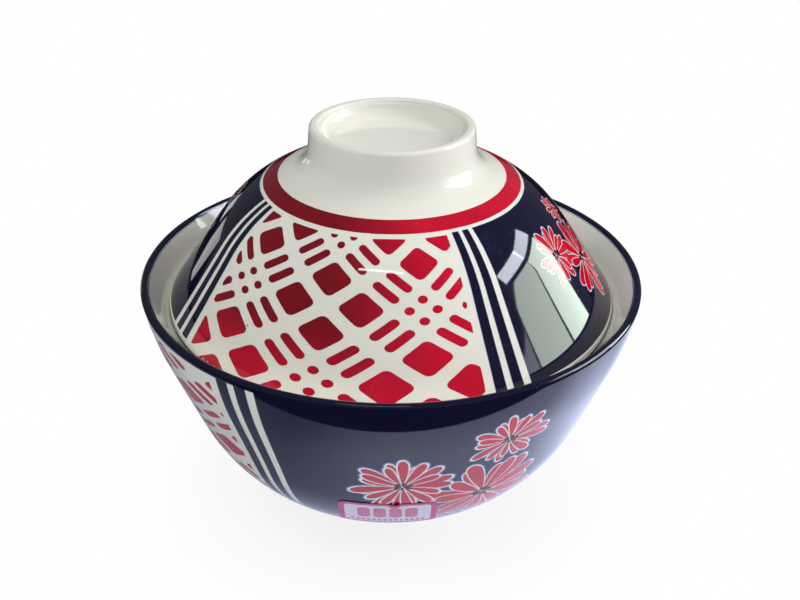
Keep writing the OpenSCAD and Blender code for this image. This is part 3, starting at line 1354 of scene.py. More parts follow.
@dataclass(frozen=True)
class Biscuit:
    """Bare fired clay, where the glaze is wiped off."""

    name: str = "bare_clay"
    clay: Colour = painted(214, 205, 190)
    dust: Colour = painted(188, 176, 160)
    cloud: float = 160.0
    grain: float = 2600.0
    relief: float = 0.00006
    roughness: float = 0.78

    def material(self, effects: Effects) -> bpy.types.Material:
        """Build the finish.

        Args:
            effects: The shared shader groups.

        Returns:
            The material.
        """
        coat = Coat(self.name)
        grain = coat.placed(effects.pigment, Cloud=self.cloud, Grain=self.grain)
        coat.link(coat.mixed(grain.outputs["Depth"], self.dust, self.clay), coat.shader.inputs["Base Color"])
        coat.bumped(grain.outputs["Thin"], self.relief)
        coat.set(Roughness=self.roughness)
        return coat.material


@dataclass(frozen=True)
class Paper:
    """Coated paper with a faint tooth and creases in its gloss."""

    name: str
    face: Colour
    shade: Colour
    sheen: float = 0.42
    smear: float = 0.2
    wave: float = 1.0
    cloud: float = 260.0
    grain: float = 3800.0
    relief: float = 0.00012

    def material(self, effects: Effects) -> bpy.types.Material:
        """Build the finish.

        Args:
            effects: The shared shader groups.

        Returns:
            The material.
        """
        coat = Coat(self.name)
        grain = coat.placed(effects.pigment, Cloud=self.cloud, Grain=self.grain)
        tone = coat.mixed(grain.outputs["Depth"], self.shade, self.face)
        coat.link(tone, coat.shader.inputs["Base Color"])
        surface = coat.placed(effects.glaze, Wave=self.wave, Gloss=self.sheen, Smear=self.smear)
        coat.link(surface.outputs["Roughness"], coat.shader.inputs["Roughness"])
        coat.bumped(surface.outputs["Height"], self.relief)
        return coat.material


PORCELAIN = Glaze(
    "porcelain_glaze", deep=painted(228, 227, 214), light=painted(238, 237, 227),
    fleck=painted(150, 135, 110), ior=1.46,
)
GLAZES = {
    Ink.NAVY: Glaze(
        "navy_glaze", deep=painted(14, 13, 36), light=painted(20, 18, 48), fleck=painted(72, 74, 112)
    ),
    Ink.RED: Glaze(
        "red_glaze", deep=painted(174, 4, 37), light=painted(216, 18, 54), fleck=painted(226, 90, 96),
        # Painted shade: the red deepens to this colour high on the left of the object.
        shade=painted(118, 10, 24),
    ),
    Ink.WHITE: Glaze(
        "white_line_glaze", deep=painted(222, 224, 226), light=painted(236, 237, 238),
        fleck=painted(200, 205, 220),
    ),
    Ink.COBALT: Glaze(
        "cobalt_bleed_glaze", deep=painted(62, 74, 142), light=painted(96, 108, 170),
        fleck=painted(130, 140, 190),
    ),
    Ink.MIST: Glaze(
        "pale_bleed_glaze", deep=painted(150, 160, 200), light=painted(176, 184, 214),
        fleck=painted(200, 205, 225),
    ),
}
LABEL_FIELD = Paper("label_paper", face=painted(232, 228, 238), shade=painted(218, 214, 228))
LABEL_PRINT = Paper("label_ink", face=painted(216, 132, 176), shade=painted(206, 116, 164))
LABEL_BORDER = Paper("label_border", face=painted(214, 92, 148), shade=painted(202, 80, 136))


class Palette:
    """Every finish of the object, built once."""

    def __init__(self) -> None:
        """Build the shared groups and then the materials."""
        effects = Effects()
        self.porcelain = PORCELAIN.material(effects, False)
        self.inks = {ink: glaze.material(effects, True) for ink, glaze in GLAZES.items()}
        self.biscuit = Biscuit().material(effects)
        self.paper = LABEL_FIELD.material(effects)
        self.label_print = LABEL_PRINT.material(effects)
        self.border = LABEL_BORDER.material(effects)


def joined(name: str, meshes: list[bpy.types.Mesh], finish: bpy.types.Material) -> bpy.types.Object:
    """Join meshes into one piece at the origin, with the shading of the smooth surface.

    Args:
        name: Name of the piece.
        meshes: Meshes with their outward direction stored.
        finish: Material of the piece.

    Returns:
        The piece.
    """
    shape = bmesh.new()
    for mesh in meshes:
        shape.from_mesh(mesh)
        bpy.data.meshes.remove(mesh)
    whole = bpy.data.meshes.new(name)
    shape.to_mesh(whole)
    shape.free()
    whole.materials.clear()
    whole.materials.append(finish)
    return shown(name, whole)


def shown(name: str, mesh: bpy.types.Mesh) -> bpy.types.Object:
    """Put a mesh in the scene, shaded by its stored outward direction.

    Args:
        name: Name of the piece.
        mesh: Its mesh, with the outward direction stored.

    Returns:
        The piece.
    """
    mesh.name = name
    mesh.shade_smooth()
    stored = mesh.attributes["outward"].data
    outward = [0.0] * (3 * len(mesh.vertices))
    stored.foreach_get("vector", outward)
    triples = [outward[i:i + 3] for i in range(0, len(outward), 3)]
    mesh.normals_split_custom_set_from_vertices(triples)
    for title in ("outward", "copy"):
        if title in mesh.attributes:
            mesh.attributes.remove(mesh.attributes[title])
    thing = bpy.data.objects.new(name, mesh)
    bpy.context.scene.collection.objects.link(thing)
    return thing


class Trees:
    """The Geometry Nodes trees, built once."""

    def __init__(self) -> None:
        """Build every tree."""
        self.turned = turned_tree()
        self.strip = strip_tree()
        self.plaid = plaid_tree()
        self.petals = petal_tree()
        self.patch = patch_tree()


@dataclass(frozen=True)
class Stripes:
    """Two navy stripes and their white gaps, between a plaid panel and a navy panel, in degrees."""

    plaid_half: float = 38.9
    first: Point = (41.3, 44.1)
    second: Point = (45.9, 48.6)
    ground: float = 50.7


@dataclass(frozen=True)
class Plaid:
    """One panel of plaid: where its middle and its lattice stand, in degrees, and down the section."""

    middle: float
    lattice: float
    origin: float
    run: float
    fall: float


@dataclass(frozen=True)
class Bloom:
    """One painted bloom: its centre, how far its petals reach each way, and how they are drawn."""

    azimuth: float
    down: float
    right: float
    left: float
    up: float
    below: float
    petals: int
    turn: float
    width: float = 0.68
    heart: float = 1.0
    outline: float = 1.0


@dataclass(frozen=True)
class FilmHeights:
    """How high the films stand, in millimetres, so that each lies over the one that it covers."""

    bleed: float = 0.018
    ground: float = 0.03
    lip: float = 0.036
    halo: float = 0.04
    outline: float = 0.054
    petal: float = 0.068
    heart: float = 0.112


@dataclass(frozen=True)
class PetalLayers:
    """How far each layer of a bloom reaches past its petals' sides and tips, and its dark heart."""

    halo: Point = (0.55, 0.9)
    outline: Point = (0.28, 0.5)
    petal: Point = (-0.12, -0.15)
    heart_petals: int = 9
    heart_right: float = 2.9
    heart_left: float = 2.7
    heart_up: float = 2.0
    heart_below: float = 1.7
    heart_width: float = 0.6
    heart_start: float = 0.3


@dataclass
class Decoration:
    """The painted films of one piece: colours by name, each a list of meshes until it is joined.

    The lead is the length of the painted outline above the place that sizes are measured from.
    """

    trees: Trees
    palette: Palette
    section: Section
    lead: float
    heights: FilmHeights = FilmHeights()
    layers: PetalLayers = PetalLayers()
    bleed: float = 0.12
    copies: int = 2
    columns_per_degree: float = 2.4
    fewest_columns: int = 5
    row_pitch: float = 1.3
    fewest_rows: int = 25
    films: dict[Ink, list[bpy.types.Mesh]] = field(default_factory=dict)

    def add(self, ink: Ink, tree: Tree, **sizes: float) -> None:
        """Make one film in a colour of the palette."""
        mesh = tree.grown(ink.value, self.section, self.palette.inks[ink], **sizes)
        self.films.setdefault(ink, []).append(mesh)

    def strip(
        self, ink: Ink, middle: float, half: float, top: float, bottom: float, level: float, copies: int = 1
    ) -> None:
        """Paint a strip between two directions and two lengths.

        Args:
            ink: Its colour.
            middle: Direction of its middle, in degrees.
            half: Half its width, in degrees.
            top: Length down to its upper end.
            bottom: Length down to its lower end.
            level: Height of the film.
            copies: Number of strips round the axis.
        """
        across = max(self.fewest_columns, math.ceil(half * self.columns_per_degree))
        along = max(self.fewest_rows, math.ceil((bottom - top) / self.row_pitch))
        self.add(
            ink, self.trees.strip, Copies=copies, Across=across, Along=along, Middle=middle, Half=half,
            Top=top + self.lead, Bottom=bottom + self.lead, Level=level,
        )

    def ringed(self, ink: Ink, top: float, bottom: float, level: float) -> None:
        """Paint a band all the way round between two lengths."""
        self.strip(ink, 0, 180, top, bottom, level)

    def edged(self, middle: float, half: float, top: float, bottom: float) -> None:
        """Paint a navy strip and its copy with the faint blue bleed along their sides.

        Args:
            middle: Direction of the strip's middle, in degrees.
            half: Half its width, in degrees.
            top: Length down to its upper end.
            bottom: Length down to its lower end.
        """
        share = math.degrees(self.bleed / self.section.radius_at((top + bottom) / 2 + self.lead))
        self.strip(Ink.MIST, middle, half + share, top - self.bleed, bottom, self.heights.bleed, self.copies)
        self.strip(Ink.NAVY, middle, half, top, bottom, self.heights.ground, self.copies)

    def panels(self, plaid: Plaid, stripes: Stripes, top: Point, bottom: Point) -> None:
        """Paint the two plaid panels, the stripes beside them and the two navy panels.

        Args:
            plaid: The plaid.
            stripes: Places of the stripes from a plaid panel's middle.
            top: Upper end of the plaid, and of the stripes and navy panels.
            bottom: Lower end of the plaid, and of the stripes and navy panels.
        """
        self.add(
            Ink.RED, self.trees.plaid, Panel=plaid.middle, Half=stripes.plaid_half, Top=top[0] + self.lead,
            Bottom=bottom[0] + self.lead, Lattice=plaid.lattice, Origin=plaid.origin + self.lead,
            Run=plaid.run, Fall=plaid.fall,
        )
        for near, far in (stripes.first, stripes.second):
            middle, half = (near + far) / 2, (far - near) / 2
            for side in (-1, 1):
                self.edged(plaid.middle + side * middle, half, top[1], bottom[1])
        self.edged(plaid.middle + 90, 90 - stripes.ground, top[1], bottom[1])

    def bloom(self, bloom: Bloom) -> None:
        """Paint a bloom and its twin: blue halo, white outline, red petals and dark heart.

        Args:
            bloom: The bloom.
        """
        heights, layers, petals = self.heights, self.layers, self.trees.petals
        shared = {
            "Copies": self.copies, "Azimuth": bloom.azimuth, "Down": bloom.down + self.lead,
            "Turn": bloom.turn,
        }
        flower = {
            "Petals": bloom.petals, "Right": bloom.right, "Left": bloom.left, "Up": bloom.up,
            "Below": bloom.below, "Width": bloom.width,
        }
        heart = {
            "Petals": layers.heart_petals, "Right": layers.heart_right * bloom.heart,
            "Left": layers.heart_left * bloom.heart, "Up": layers.heart_up * bloom.heart,
            "Below": layers.heart_below * bloom.heart, "Width": layers.heart_width,
            "Start": layers.heart_start * bloom.heart,
        }

        def past(reach: Point) -> dict[str, float]:
            """Return a layer's reach past the petals, by the names of the tree's inputs."""
            return {"Margin": reach[0] * bloom.outline, "Tip": reach[1] * bloom.outline}

        self.add(Ink.COBALT, petals, Level=heights.halo, Rise=0, **past(layers.halo), **flower, **shared)
        self.add(Ink.WHITE, petals, Level=heights.outline, **past(layers.outline), **flower, **shared)
        self.add(
            Ink.RED, petals, Level=heights.petal, Start=bloom.heart, **past(layers.petal), **flower, **shared
        )
        self.add(Ink.NAVY, petals, Level=heights.heart, Rise=0, **heart, **shared)

    def pieces(self, node: str) -> list[bpy.types.Object]:
        """Join the films of each colour and let them ride.

        Args:
            node: Name of the painted node, which is also that of its body.

        Returns:
            The pieces, one for each colour.
        """
        made = []
        for ink, meshes in self.films.items():
            piece = joined(f"{node}_{ink.value}_print", meshes, self.palette.inks[ink])
            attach(piece, node)
            made.append(piece)
        self.films = {}
        return made


def turned_body(
    node: str, section: Section, bare_below: float, trees: Trees, palette: Palette
) -> bpy.types.Object:
    """Turn a glazed body whose lowest part is left bare.

    Args:
        node: Name of the node that it stands for, which is also that of its body.
        section: Its whole outline.
        bare_below: Height under which the clay is bare, in millimetres.
        trees: The trees that make meshes.
        palette: The finishes.

    Returns:
        The piece.
    """
    name = f"{node}_body"
    mesh = trees.turned.grown(name, section, palette.porcelain, Rows=len(section.points))
    mesh.materials.append(palette.biscuit)
    for face in mesh.polygons:
        if face.center.z < bare_below * MM:
            face.material_index = 1
    piece = shown(name, mesh)
    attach(piece, node)
    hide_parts(node)
    return piece


@dataclass(frozen=True)
class Bowl:
    """The bowl: glazed body, painted outside and the navy line round its lip."""

    trees: Trees
    palette: Palette
    lid: "Lid"
    shape: BowlShape = BowlShape()
    stripes: Stripes = Stripes(plaid_half=28.6, first=(31.0, 33.8), second=(35.6, 38.3), ground=40.4)
    plaid: Plaid = Plaid(middle=-157.5, lattice=-124.4, origin=38.0, run=27.5, fall=18.6)
    lip_band: Point = (-1.5, 2.8)
    lip_bleed: Point = (-0.45, 0.3)
    panel_top: float = 2.8
    plaid_top: float = 5.0
    foot_margin: float = 5.0
    bare_height: float = 0.45
    blooms: tuple[Bloom, ...] = (
        Bloom(
            azimuth=-87.2, down=37.0, right=13.4, left=13.2, up=12.4, below=12.0, petals=23, turn=0.2,
            width=0.86, heart=1.0, outline=1.25,
        ),
        Bloom(
            azimuth=-64.0, down=20.6, right=12.4, left=10.6, up=9.2, below=9.2, petals=20, turn=0.1,
            width=0.8, heart=0.9,
        ),
        Bloom(
            azimuth=-65.8, down=46.4, right=17.4, left=15.4, up=15.6, below=16.0, petals=18, turn=0.78,
            width=0.8, heart=1.2,
        ),
    )

    @cached_property
    def body_section(self) -> Section:
        """Return the whole outline, fitted to the lid's edge."""
        return self.shape.section(self.lid.shape.edge(), self.lid.shape.edge_r)

    @cached_property
    def paint_section(self) -> Section:
        """Return the outline under the paint."""
        return self.shape.painted_section(self.lid.shape.edge(), self.lid.shape.edge_r)

    @cached_property
    def lead(self) -> float:
        """Return the length of the painted outline inside the lip's crest, from which sizes run."""
        return self.paint_section.length_to((self.shape.lip()[0], self.shape.height()))

    def body(self) -> bpy.types.Object:
        """Turn the body, with the foot ring's tread left bare."""
        return turned_body("bowl", self.body_section, self.bare_height, self.trees, self.palette)

    def decoration(self) -> list[bpy.types.Object]:
        """Paint the outside.

        Returns:
            The pieces, one for each colour.
        """
        paint = Decoration(self.trees, self.palette, self.paint_section, self.lead)
        foot = self.paint_section.length_to(self.paint_section.points[-1])
        end = foot - self.lead - self.foot_margin
        top, bottom = self.lip_band
        paint.panels(self.plaid, self.stripes, (self.plaid_top, self.panel_top), (end, end))
        paint.ringed(Ink.MIST, top + self.lip_bleed[0], top + self.lip_bleed[1], paint.heights.bleed)
        paint.ringed(Ink.NAVY, top, bottom, paint.heights.lip)
        for bloom in self.blooms:
            paint.bloom(bloom)
        return paint.pieces("bowl")


@dataclass(frozen=True)
class Lid:
    """The lid: glazed body with its grip ring, and the painted dome."""

    trees: Trees
    palette: Palette
    shape: LidShape = LidShape(rim_height=BowlShape().height())
    stripes: Stripes = Stripes()
    plaid: Plaid = Plaid(middle=-107.3, lattice=-108.5, origin=47.5, run=27.5, fall=20.2)
    edge_rise: float = 73.1
    band: Point = (20.6, 25.6)
    panel_top: float = 26.75
    plaid_top: float = 27.2
    plaid_end: float = 75.0
    paint_end: float = 76.3
    bare_share: float = 0.8
    blooms: tuple[Bloom, ...] = (
        Bloom(
            azimuth=-27.6, down=45.4, right=8.4, left=8.2, up=8.6, below=9.0, petals=18, turn=0.2,
            width=0.72, heart=0.75, outline=0.5,
        ),
        Bloom(
            azimuth=-11.2, down=54.6, right=12.0, left=11.6, up=12.6, below=12.6, petals=17, turn=0.4,
            width=0.72, heart=0.95, outline=0.5,
        ),
        Bloom(
            azimuth=-6.2, down=38.0, right=4.6, left=4.6, up=4.5, below=4.4, petals=13, turn=0.3,
            width=0.72, heart=0.5, outline=0.4,
        ),
    )

    @cached_property
    def body_section(self) -> Section:
        """Return the whole outline."""
        return self.shape.section()

    @cached_property
    def paint_section(self) -> Section:
        """Return the outline under the paint."""
        return self.shape.painted_section()

    @cached_property
    def lead(self) -> float:
        """Return the length of the painted outline above the place that sizes are measured from."""
        return self.paint_section.length_to(self.shape.flank_low()) - self.edge_rise

    def body(self) -> bpy.types.Object:
        """Turn the body, with the edge that rests on the seat left bare."""
        bare_below = self.shape.edge()[1] - self.shape.edge_r * self.bare_share
        return turned_body("lid", self.body_section, bare_below, self.trees, self.palette)

    def decoration(self) -> list[bpy.types.Object]:
        """Paint the dome.

        Returns:
            The pieces, one for each colour.
        """
        paint = Decoration(self.trees, self.palette, self.paint_section, self.lead)
        paint.ringed(Ink.RED, self.band[0], self.band[1], paint.heights.ground)
        top, bottom = (self.plaid_top, self.panel_top), (self.plaid_end, self.paint_end)
        paint.panels(self.plaid, self.stripes, top, bottom)
        for bloom in self.blooms:
            paint.bloom(bloom)
        return paint.pieces("lid")


@dataclass(frozen=True)
class PrintRow:
    """One row of plain blocks or bars on the label: its place, how many stand in it and their size."""

    down: float
    count: int
    pitch: float
    width: float
    height: float


@dataclass(frozen=True)
class Label:
    """The small paper label on the belly's front: a pink sheet, a pale field and plain blocks."""

    trees: Trees
    palette: Palette
    bowl: Bowl
    facing: float = -90.7
    top: float = 46.6
    width: float = 28.6
    height: float = 18.0
    corner: float = 2.2
    side_border: float = 1.7
    top_border: float = 1.2
    glue_t: float = 0.1
    paper_t: float = 0.16
    buckle: float = 0.5
    field_t: float = 0.02
    field_corner_share: float = 0.7
    print_low: float = 0.015
    print_high: float = 0.035
    print_corner_share: float = 0.3
    print_steps: int = 9
    print_rows: tuple[PrintRow, ...] = (
        PrintRow(down=49.4, count=4, pitch=4.6, width=3.7, height=7.6),
        PrintRow(down=58.8, count=14, pitch=1.6, width=0.95, height=2.6),
    )

    def patch(self, name: str, finish: bpy.types.Material, down: float, **sizes: float) -> bpy.types.Mesh:
        """Make one sheet or one row of marks on the belly.

        Args:
            name: Name of the mesh.
            finish: Its material.
            down: Length down from the crest of the lip to its upper side.
            sizes: Values of the tree's other inputs.

        Returns:
            The mesh.
        """
        section, place = self.bowl.paint_section, down + self.bowl.lead
        return self.trees.patch.grown(name, section, finish, Azimuth=self.facing, Down=place, **sizes)

    def pieces(self) -> list[bpy.types.Object]:
        """Make the sheet, the pale field and the plain marks.

        Returns:
            The three pieces.
        """
        face = self.glue_t + self.paper_t
        sheet = self.patch(
            "price_label_sheet", self.palette.border, self.top, Width=self.width, Height=self.height,
            Corner=self.corner, Base=self.glue_t, Level=face, Buckle=self.buckle,
        )
        pale = self.patch(
            "price_label_field", self.palette.paper, self.top + self.top_border,
            Width=self.width - 2 * self.side_border, Height=self.height - self.top_border - self.side_border,
            Corner=self.corner * self.field_corner_share, Base=face, Level=face + self.field_t, Buckle=0.0,
        )
        rows = []
        for row in self.print_rows:
            rows.append(self.patch(
                "price_label_print", self.palette.label_print, row.down, Width=row.width, Height=row.height,
                Corner=min(row.width, row.height) * self.print_corner_share, Base=face + self.print_low,
                Level=face + self.print_high, Copies=row.count, Pitch=row.pitch, Across=self.print_steps,
                Along=self.print_steps,
            ))
        made = [
            joined("price_label_sheet", [sheet], self.palette.border),
            joined("price_label_field", [pale], self.palette.paper),
            joined("price_label_print", rows, self.palette.label_print),
        ]
        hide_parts("price_label")
        for piece in made:
            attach(piece, "bowl")
        return made


class Lights(Enum):
    """What a lamp lights: everything, only the body of the colours, or only the gloss."""

    ALL = "all"
    BODY = "body"
    GLOSS = "gloss"


@dataclass(frozen=True)
class Lamp:
    """A soft rectangular lamp: where it hangs, how large it is and how bright its face is."""

    name: str
    azimuth: float
    elevation: float
    distance: float
    width: float
    height: float
    radiance: float
    lights: Lights = Lights.ALL
    colour: Colour = (1.0, 1.0, 1.0)
    aim: tuple[float, float, float] = (0.0, 0.0, 0.06)

    def hang(self) -> None:
        """Make the lamp, turned towards the object."""
        data = bpy.data.lights.new(self.name, "AREA")
        data.shape = "RECTANGLE"
        data.size = self.width
        data.size_y = self.height
        data.energy = self.radiance * self.width * self.height * math.pi
        data.color = self.colour
        lamp = bpy.data.objects.new(self.name, data)
        bpy.context.scene.collection.objects.link(lamp)
        turn, rise = math.radians(self.azimuth), math.radians(self.elevation)
        reach = self.distance * math.cos(rise)
        x, y, z = self.aim
        lamp.location = (
            x + reach * math.cos(turn), y + reach * math.sin(turn), z + self.distance * math.sin(rise)
        )
        lamp.rotation_euler = (math.pi / 2 - rise, 0, turn + math.pi / 2)
        lamp.visible_glossy = self.lights is not Lights.BODY
        lamp.visible_diffuse = self.lights is not Lights.GLOSS


@dataclass(frozen=True)
class FloorFinish:
    """Pale floor.

    It is plain white for the camera away from the object's shadow. The gloss of the object shows it
    white as well, with painted shade towards the left and a painted pool of window light towards the
    right. Each reach is in metres, along X, along Y or from the middle, and the pair after it says what holds
    at its two ends.
    """

    name: str = "pale_floor"
    face: Colour = (0.85, 0.87, 0.92)
    glow: Colour = (0.72, 0.79, 1.06)
    white_reach: Point = (0.035, 0.1)
    white_share: Point = (0.84, 1.0)
    # Painted shade: the glow is dimmer to the left, towards the object's shadow.
    painted_shade_reach: Point = (-0.07, 0.01)
    painted_shade_strength: Point = (0.3, 1.15)
    # Painted pool of window light: the glow is brighter to the right, inside a band along Y.
    painted_pool_reach: Point = (0.03, 0.09)
    painted_pool_gain: Point = (0.0, 0.6)
    near_reach: Point = (-0.062, -0.025)
    near_share: Point = (0.0, 1.0)
    far_reach: Point = (-0.005, 0.04)
    far_share: Point = (1.0, 0.3)

    def glowing(self, coat: Coat, place: bpy.types.NodeSocket) -> bpy.types.NodeSocket:
        """Make the glow that the object's gloss shows, with painted shade to the left and a painted pool of
        window light to the right.

        Args:
            coat: The material under construction.
            place: Place on the floor.

        Returns:
            The glow's shader.
        """
        across = coat.nodes.new("ShaderNodeSeparateXYZ")
        coat.link(place, across.inputs[0])
        x, y = across.outputs["X"], across.outputs["Y"]
        # Painted shade to the left, then a painted pool of light to the right.
        lit = coat.ramp(x, self.painted_shade_reach, self.painted_shade_strength)
        painted_pool = coat.ramp(x, self.painted_pool_reach, self.painted_pool_gain)
        near = coat.ramp(y, self.near_reach, self.near_share)
        far = coat.ramp(y, self.far_reach, self.far_share)
        brighter = coat.nodes.new("ShaderNodeMath")
        brighter.operation = "ADD"
        brighter.inputs[1].default_value = 1.0
        coat.link(coat.times(painted_pool, coat.times(near, far)), brighter.inputs[0])
        glow = coat.nodes.new("ShaderNodeEmission")
        glow.inputs["Color"].default_value = (*self.glow, 1)
        coat.link(coat.times(lit, brighter.outputs[0]), glow.inputs["Strength"])
        return glow.outputs[0]

    def material(self) -> bpy.types.Material:
        """Build the finish.

        Returns:
            The material.
        """
        coat = Coat(self.name)
        nodes = coat.nodes
        diffuse = nodes.new("ShaderNodeBsdfDiffuse")
        diffuse.inputs["Color"].default_value = (*self.face, 1)
        path = nodes.new("ShaderNodeLightPath")
        place = nodes.new("ShaderNodeTexCoord").outputs["Object"]
        away = nodes.new("ShaderNodeVectorMath")
        away.operation = "LENGTH"
        coat.link(place, away.inputs[0])
        fade = coat.ramp(away.outputs["Value"], self.white_reach, self.white_share)
        seen = coat.times(path.outputs["Is Camera Ray"], fade)
        white = nodes.new("ShaderNodeEmission")
        mirrored = nodes.new("ShaderNodeMixShader")
        coat.link(path.outputs["Is Glossy Ray"], mirrored.inputs[0])
        coat.link(diffuse.outputs[0], mirrored.inputs[1])
        coat.link(self.glowing(coat, place), mirrored.inputs[2])
        mix = nodes.new("ShaderNodeMixShader")
        coat.link(seen, mix.inputs[0])
        coat.link(mirrored.outputs[0], mix.inputs[1])
        coat.link(white.outputs[0], mix.inputs[2])
        coat.link(mix.outputs[0], nodes["Material Output"].inputs["Surface"])
        return coat.material


@dataclass(frozen=True)
class SurroundFinish:
    """Dark dull ground beyond the pale table."""

    name: str = "dark_surround"
    ground: Colour = (0.012, 0.012, 0.016)
    roughness: float = 0.9

    def material(self) -> bpy.types.Material:
        """Build the finish.

        Returns:
            The material.
        """
        coat = Coat(self.name)
        coat.set(Base_Color=(*self.ground, 1), Roughness=self.roughness, Specular_IOR_Level=0.0)
        return coat.material


@dataclass(frozen=True)
class Room:
    """The dim even light of the room, which is white to the camera."""

    name: str = "room"
    tint: Colour = (0.9, 0.93, 1.0)
    strength: float = 0.12

    def fill(self) -> None:
        """Make the world."""
        world = bpy.data.worlds.new(self.name)
        world.use_nodes = True
        nodes, link = world.node_tree.nodes, world.node_tree.links.new
        dim = nodes["Background"]
        dim.inputs["Color"].default_value = (*self.tint, 1)
        dim.inputs["Strength"].default_value = self.strength
        white = nodes.new("ShaderNodeBackground")
        white.inputs["Color"].default_value = (1, 1, 1, 1)
        mix = nodes.new("ShaderNodeMixShader")
        link(nodes.new("ShaderNodeLightPath").outputs["Is Camera Ray"], mix.inputs[0])
        link(dim.outputs[0], mix.inputs[1])
        link(white.outputs[0], mix.inputs[2])
        link(mix.outputs[0], nodes["World Output"].inputs["Surface"])
        bpy.context.scene.world = world


@dataclass(frozen=True)
class Sheet:
    """A flat disc or ring on the floor: its hole's radius and shift back, its edge and its height."""

    name: str
    inner: float = 0.0
    outer: float = 3.0
    height: float = 0.0
    shift: float = 0.0
    steps: int = 128

    def laid(self, finish: bpy.types.Material) -> bpy.types.Object:
        """Lay the sheet.

        Args:
            finish: Its material.

        Returns:
            The sheet.
        """
        shape = bmesh.new()
        turns = [math.tau * i / self.steps for i in range(self.steps)]
        circle = [(math.cos(turn), math.sin(turn)) for turn in turns]
        far = [shape.verts.new((self.outer * x, self.outer * y, self.height)) for x, y in circle]
        if self.inner:
            near = [
                shape.verts.new((self.inner * x, self.inner * y + self.shift, self.height)) for x, y in circle
            ]
            for i in range(self.steps):
                j = (i + 1) % self.steps
                shape.faces.new((near[i], far[i], far[j], near[j]))
        else:
            shape.faces.new(far)
        mesh = bpy.data.meshes.new(self.name)
        shape.to_mesh(mesh)
        shape.free()
        mesh.materials.append(finish)
        thing = bpy.data.objects.new(self.name, mesh)
        bpy.context.scene.collection.objects.link(thing)
        return thing


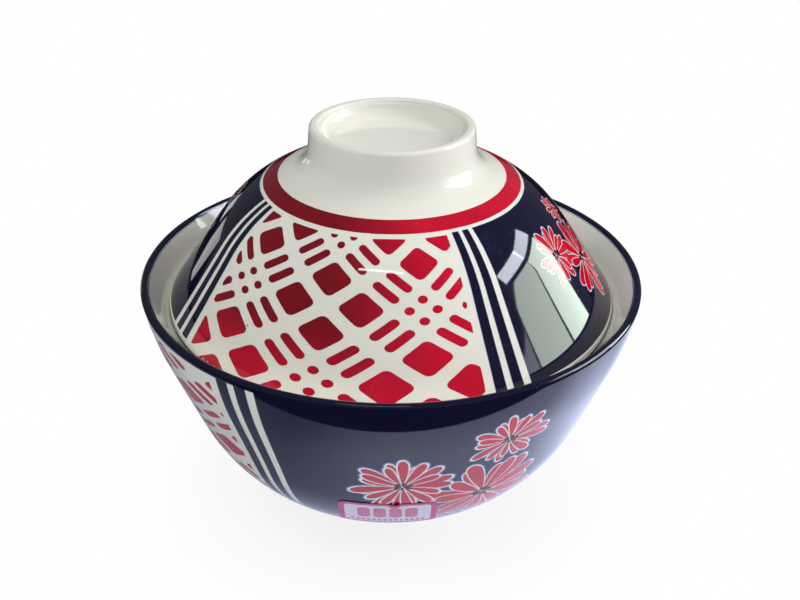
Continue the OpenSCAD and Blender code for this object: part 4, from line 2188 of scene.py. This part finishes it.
@dataclass(frozen=True)
class Studio:
    """The plain pale floor, the soft lamps and the camera at the photograph's angle."""

    rim_height: float
    lens_px: float = 981.06
    frame_px: tuple[int, int] = (800, 600)
    centre_px: float = 400.33
    sensor: float = 36.0
    nearest: float = 0.01
    camera_back: float = 277.22
    camera_over_rim: float = 144.68
    pitch: float = 29.77
    yaw: float = 0.60
    roll: float = 0.64
    floor_sheet: Sheet = Sheet("floor")
    surround_sheet: Sheet = Sheet("dark_surround", inner=0.2, height=0.0006, shift=0.09)
    sky: Colour = painted(236, 243, 255)
    garden: Colour = painted(222, 238, 222)
    lamps: tuple[Lamp, ...] = (
        Lamp(
            "key_softbox", azimuth=-95.0, elevation=45.0, distance=1.1, width=0.9, height=0.9, radiance=1.2,
            lights=Lights.BODY,
        ),
        Lamp(
            "window_light", azimuth=4.0, elevation=26.0, distance=1.3, width=1.0, height=0.8, radiance=6.2,
            lights=Lights.BODY,
        ),
        Lamp(
            "fill_softbox", azimuth=-160.0, elevation=55.0, distance=1.3, width=1.0, height=0.8, radiance=2.4,
            lights=Lights.BODY,
        ),
        Lamp(
            "back_softbox", azimuth=80.0, elevation=60.0, distance=1.2, width=0.9, height=0.7, radiance=0.75,
            lights=Lights.BODY,
        ),
        Lamp("tube", azimuth=-101.0, elevation=64.0, distance=1.5, width=0.56, height=0.035, radiance=18.0),
        Lamp(
            "pane_upper_left", azimuth=-1.6, elevation=32.0, distance=1.5, width=0.54, height=0.2,
            radiance=11.5, lights=Lights.GLOSS, colour=sky,
        ),
        Lamp(
            "pane_upper_right", azimuth=18.6, elevation=31.5, distance=1.5, width=0.43, height=0.2,
            radiance=9.0, lights=Lights.GLOSS, colour=sky,
        ),
        Lamp(
            "pane_lower_side", azimuth=-18.5, elevation=15.0, distance=1.5, width=0.24, height=0.46,
            radiance=2.4, lights=Lights.GLOSS, colour=sky,
        ),
        Lamp(
            "pane_lower_left", azimuth=-1.6, elevation=16.0, distance=1.5, width=0.54, height=0.5,
            radiance=7.5, lights=Lights.GLOSS, colour=garden,
        ),
        Lamp(
            "pane_lower_right", azimuth=18.8, elevation=14.0, distance=1.5, width=0.44, height=0.58,
            radiance=11.0, lights=Lights.GLOSS, colour=garden,
        ),
        Lamp(
            "left_card", azimuth=122.5, elevation=-3.0, distance=0.6, width=0.06, height=0.1, radiance=1.3,
            lights=Lights.GLOSS,
        ),
        Lamp(
            "left_card_wide", azimuth=134.5, elevation=-3.0, distance=0.6, width=0.11, height=0.1,
            radiance=1.3, lights=Lights.GLOSS,
        ),
    )

    def camera(self) -> None:
        """Place the camera where the photograph was taken from."""
        data = bpy.data.cameras.new("camera")
        wide = self.frame_px[0]
        data.sensor_width = self.sensor
        data.lens = self.lens_px * data.sensor_width / wide
        data.shift_x = (wide / 2 - self.centre_px) / wide
        data.clip_start = self.nearest
        pitch, yaw, roll = (math.radians(angle) for angle in (self.pitch, self.yaw, self.roll))
        turn = Matrix.Rotation(-yaw, 4, "Z") @ Matrix.Rotation(math.pi / 2 - pitch, 4, "X")
        turn = turn @ Matrix.Rotation(roll, 4, "Z")
        height = self.rim_height + self.camera_over_rim
        place = Matrix.Translation((0, -self.camera_back * MM, height * MM))
        camera = bpy.data.objects.new("camera", data)
        camera.matrix_world = place @ turn
        bpy.context.scene.collection.objects.link(camera)
        bpy.context.scene.camera = camera

    def surround(self) -> None:
        """Lay the dark ground beyond the round pale table, which only the gloss of the object shows."""
        ring = self.surround_sheet.laid(SurroundFinish().material())
        ring.visible_camera = False
        ring.visible_diffuse = False
        ring.visible_shadow = False
        ring.visible_transmission = False

    def build(self) -> None:
        """Set up the whole studio."""
        self.camera()
        self.floor_sheet.laid(FloorFinish().material())
        self.surround()
        Room().fill()
        for lamp in self.lamps:
            lamp.hang()
        bpy.context.scene.view_settings.view_transform = "Standard"


def report(pieces: list[bpy.types.Object]) -> None:
    """Log the name and the size of each piece.

    Args:
        pieces: The pieces.
    """
    for piece in pieces:
        spans = ", ".join(f"{side / MM:.1f}" for side in piece.dimensions)
        log.info("%s: %d faces, %s mm", piece.name, len(piece.data.polygons), spans)


def main() -> None:
    """Build the object, then its studio."""
    logging.basicConfig(level=logging.INFO, format="%(message)s")
    trees = Trees()
    palette = Palette()
    lid = Lid(trees, palette)
    bowl = Bowl(trees, palette, lid)
    label = Label(trees, palette, bowl)
    report([bowl.body()])
    report(bowl.decoration())
    report([lid.body()])
    report(lid.decoration())
    report(label.pieces())
    for section in (bowl.body_section, bowl.paint_section, lid.body_section, lid.paint_section):
        section.put_away()
    Studio(bowl.shape.height()).build()


if __name__ == "__main__":
    main()
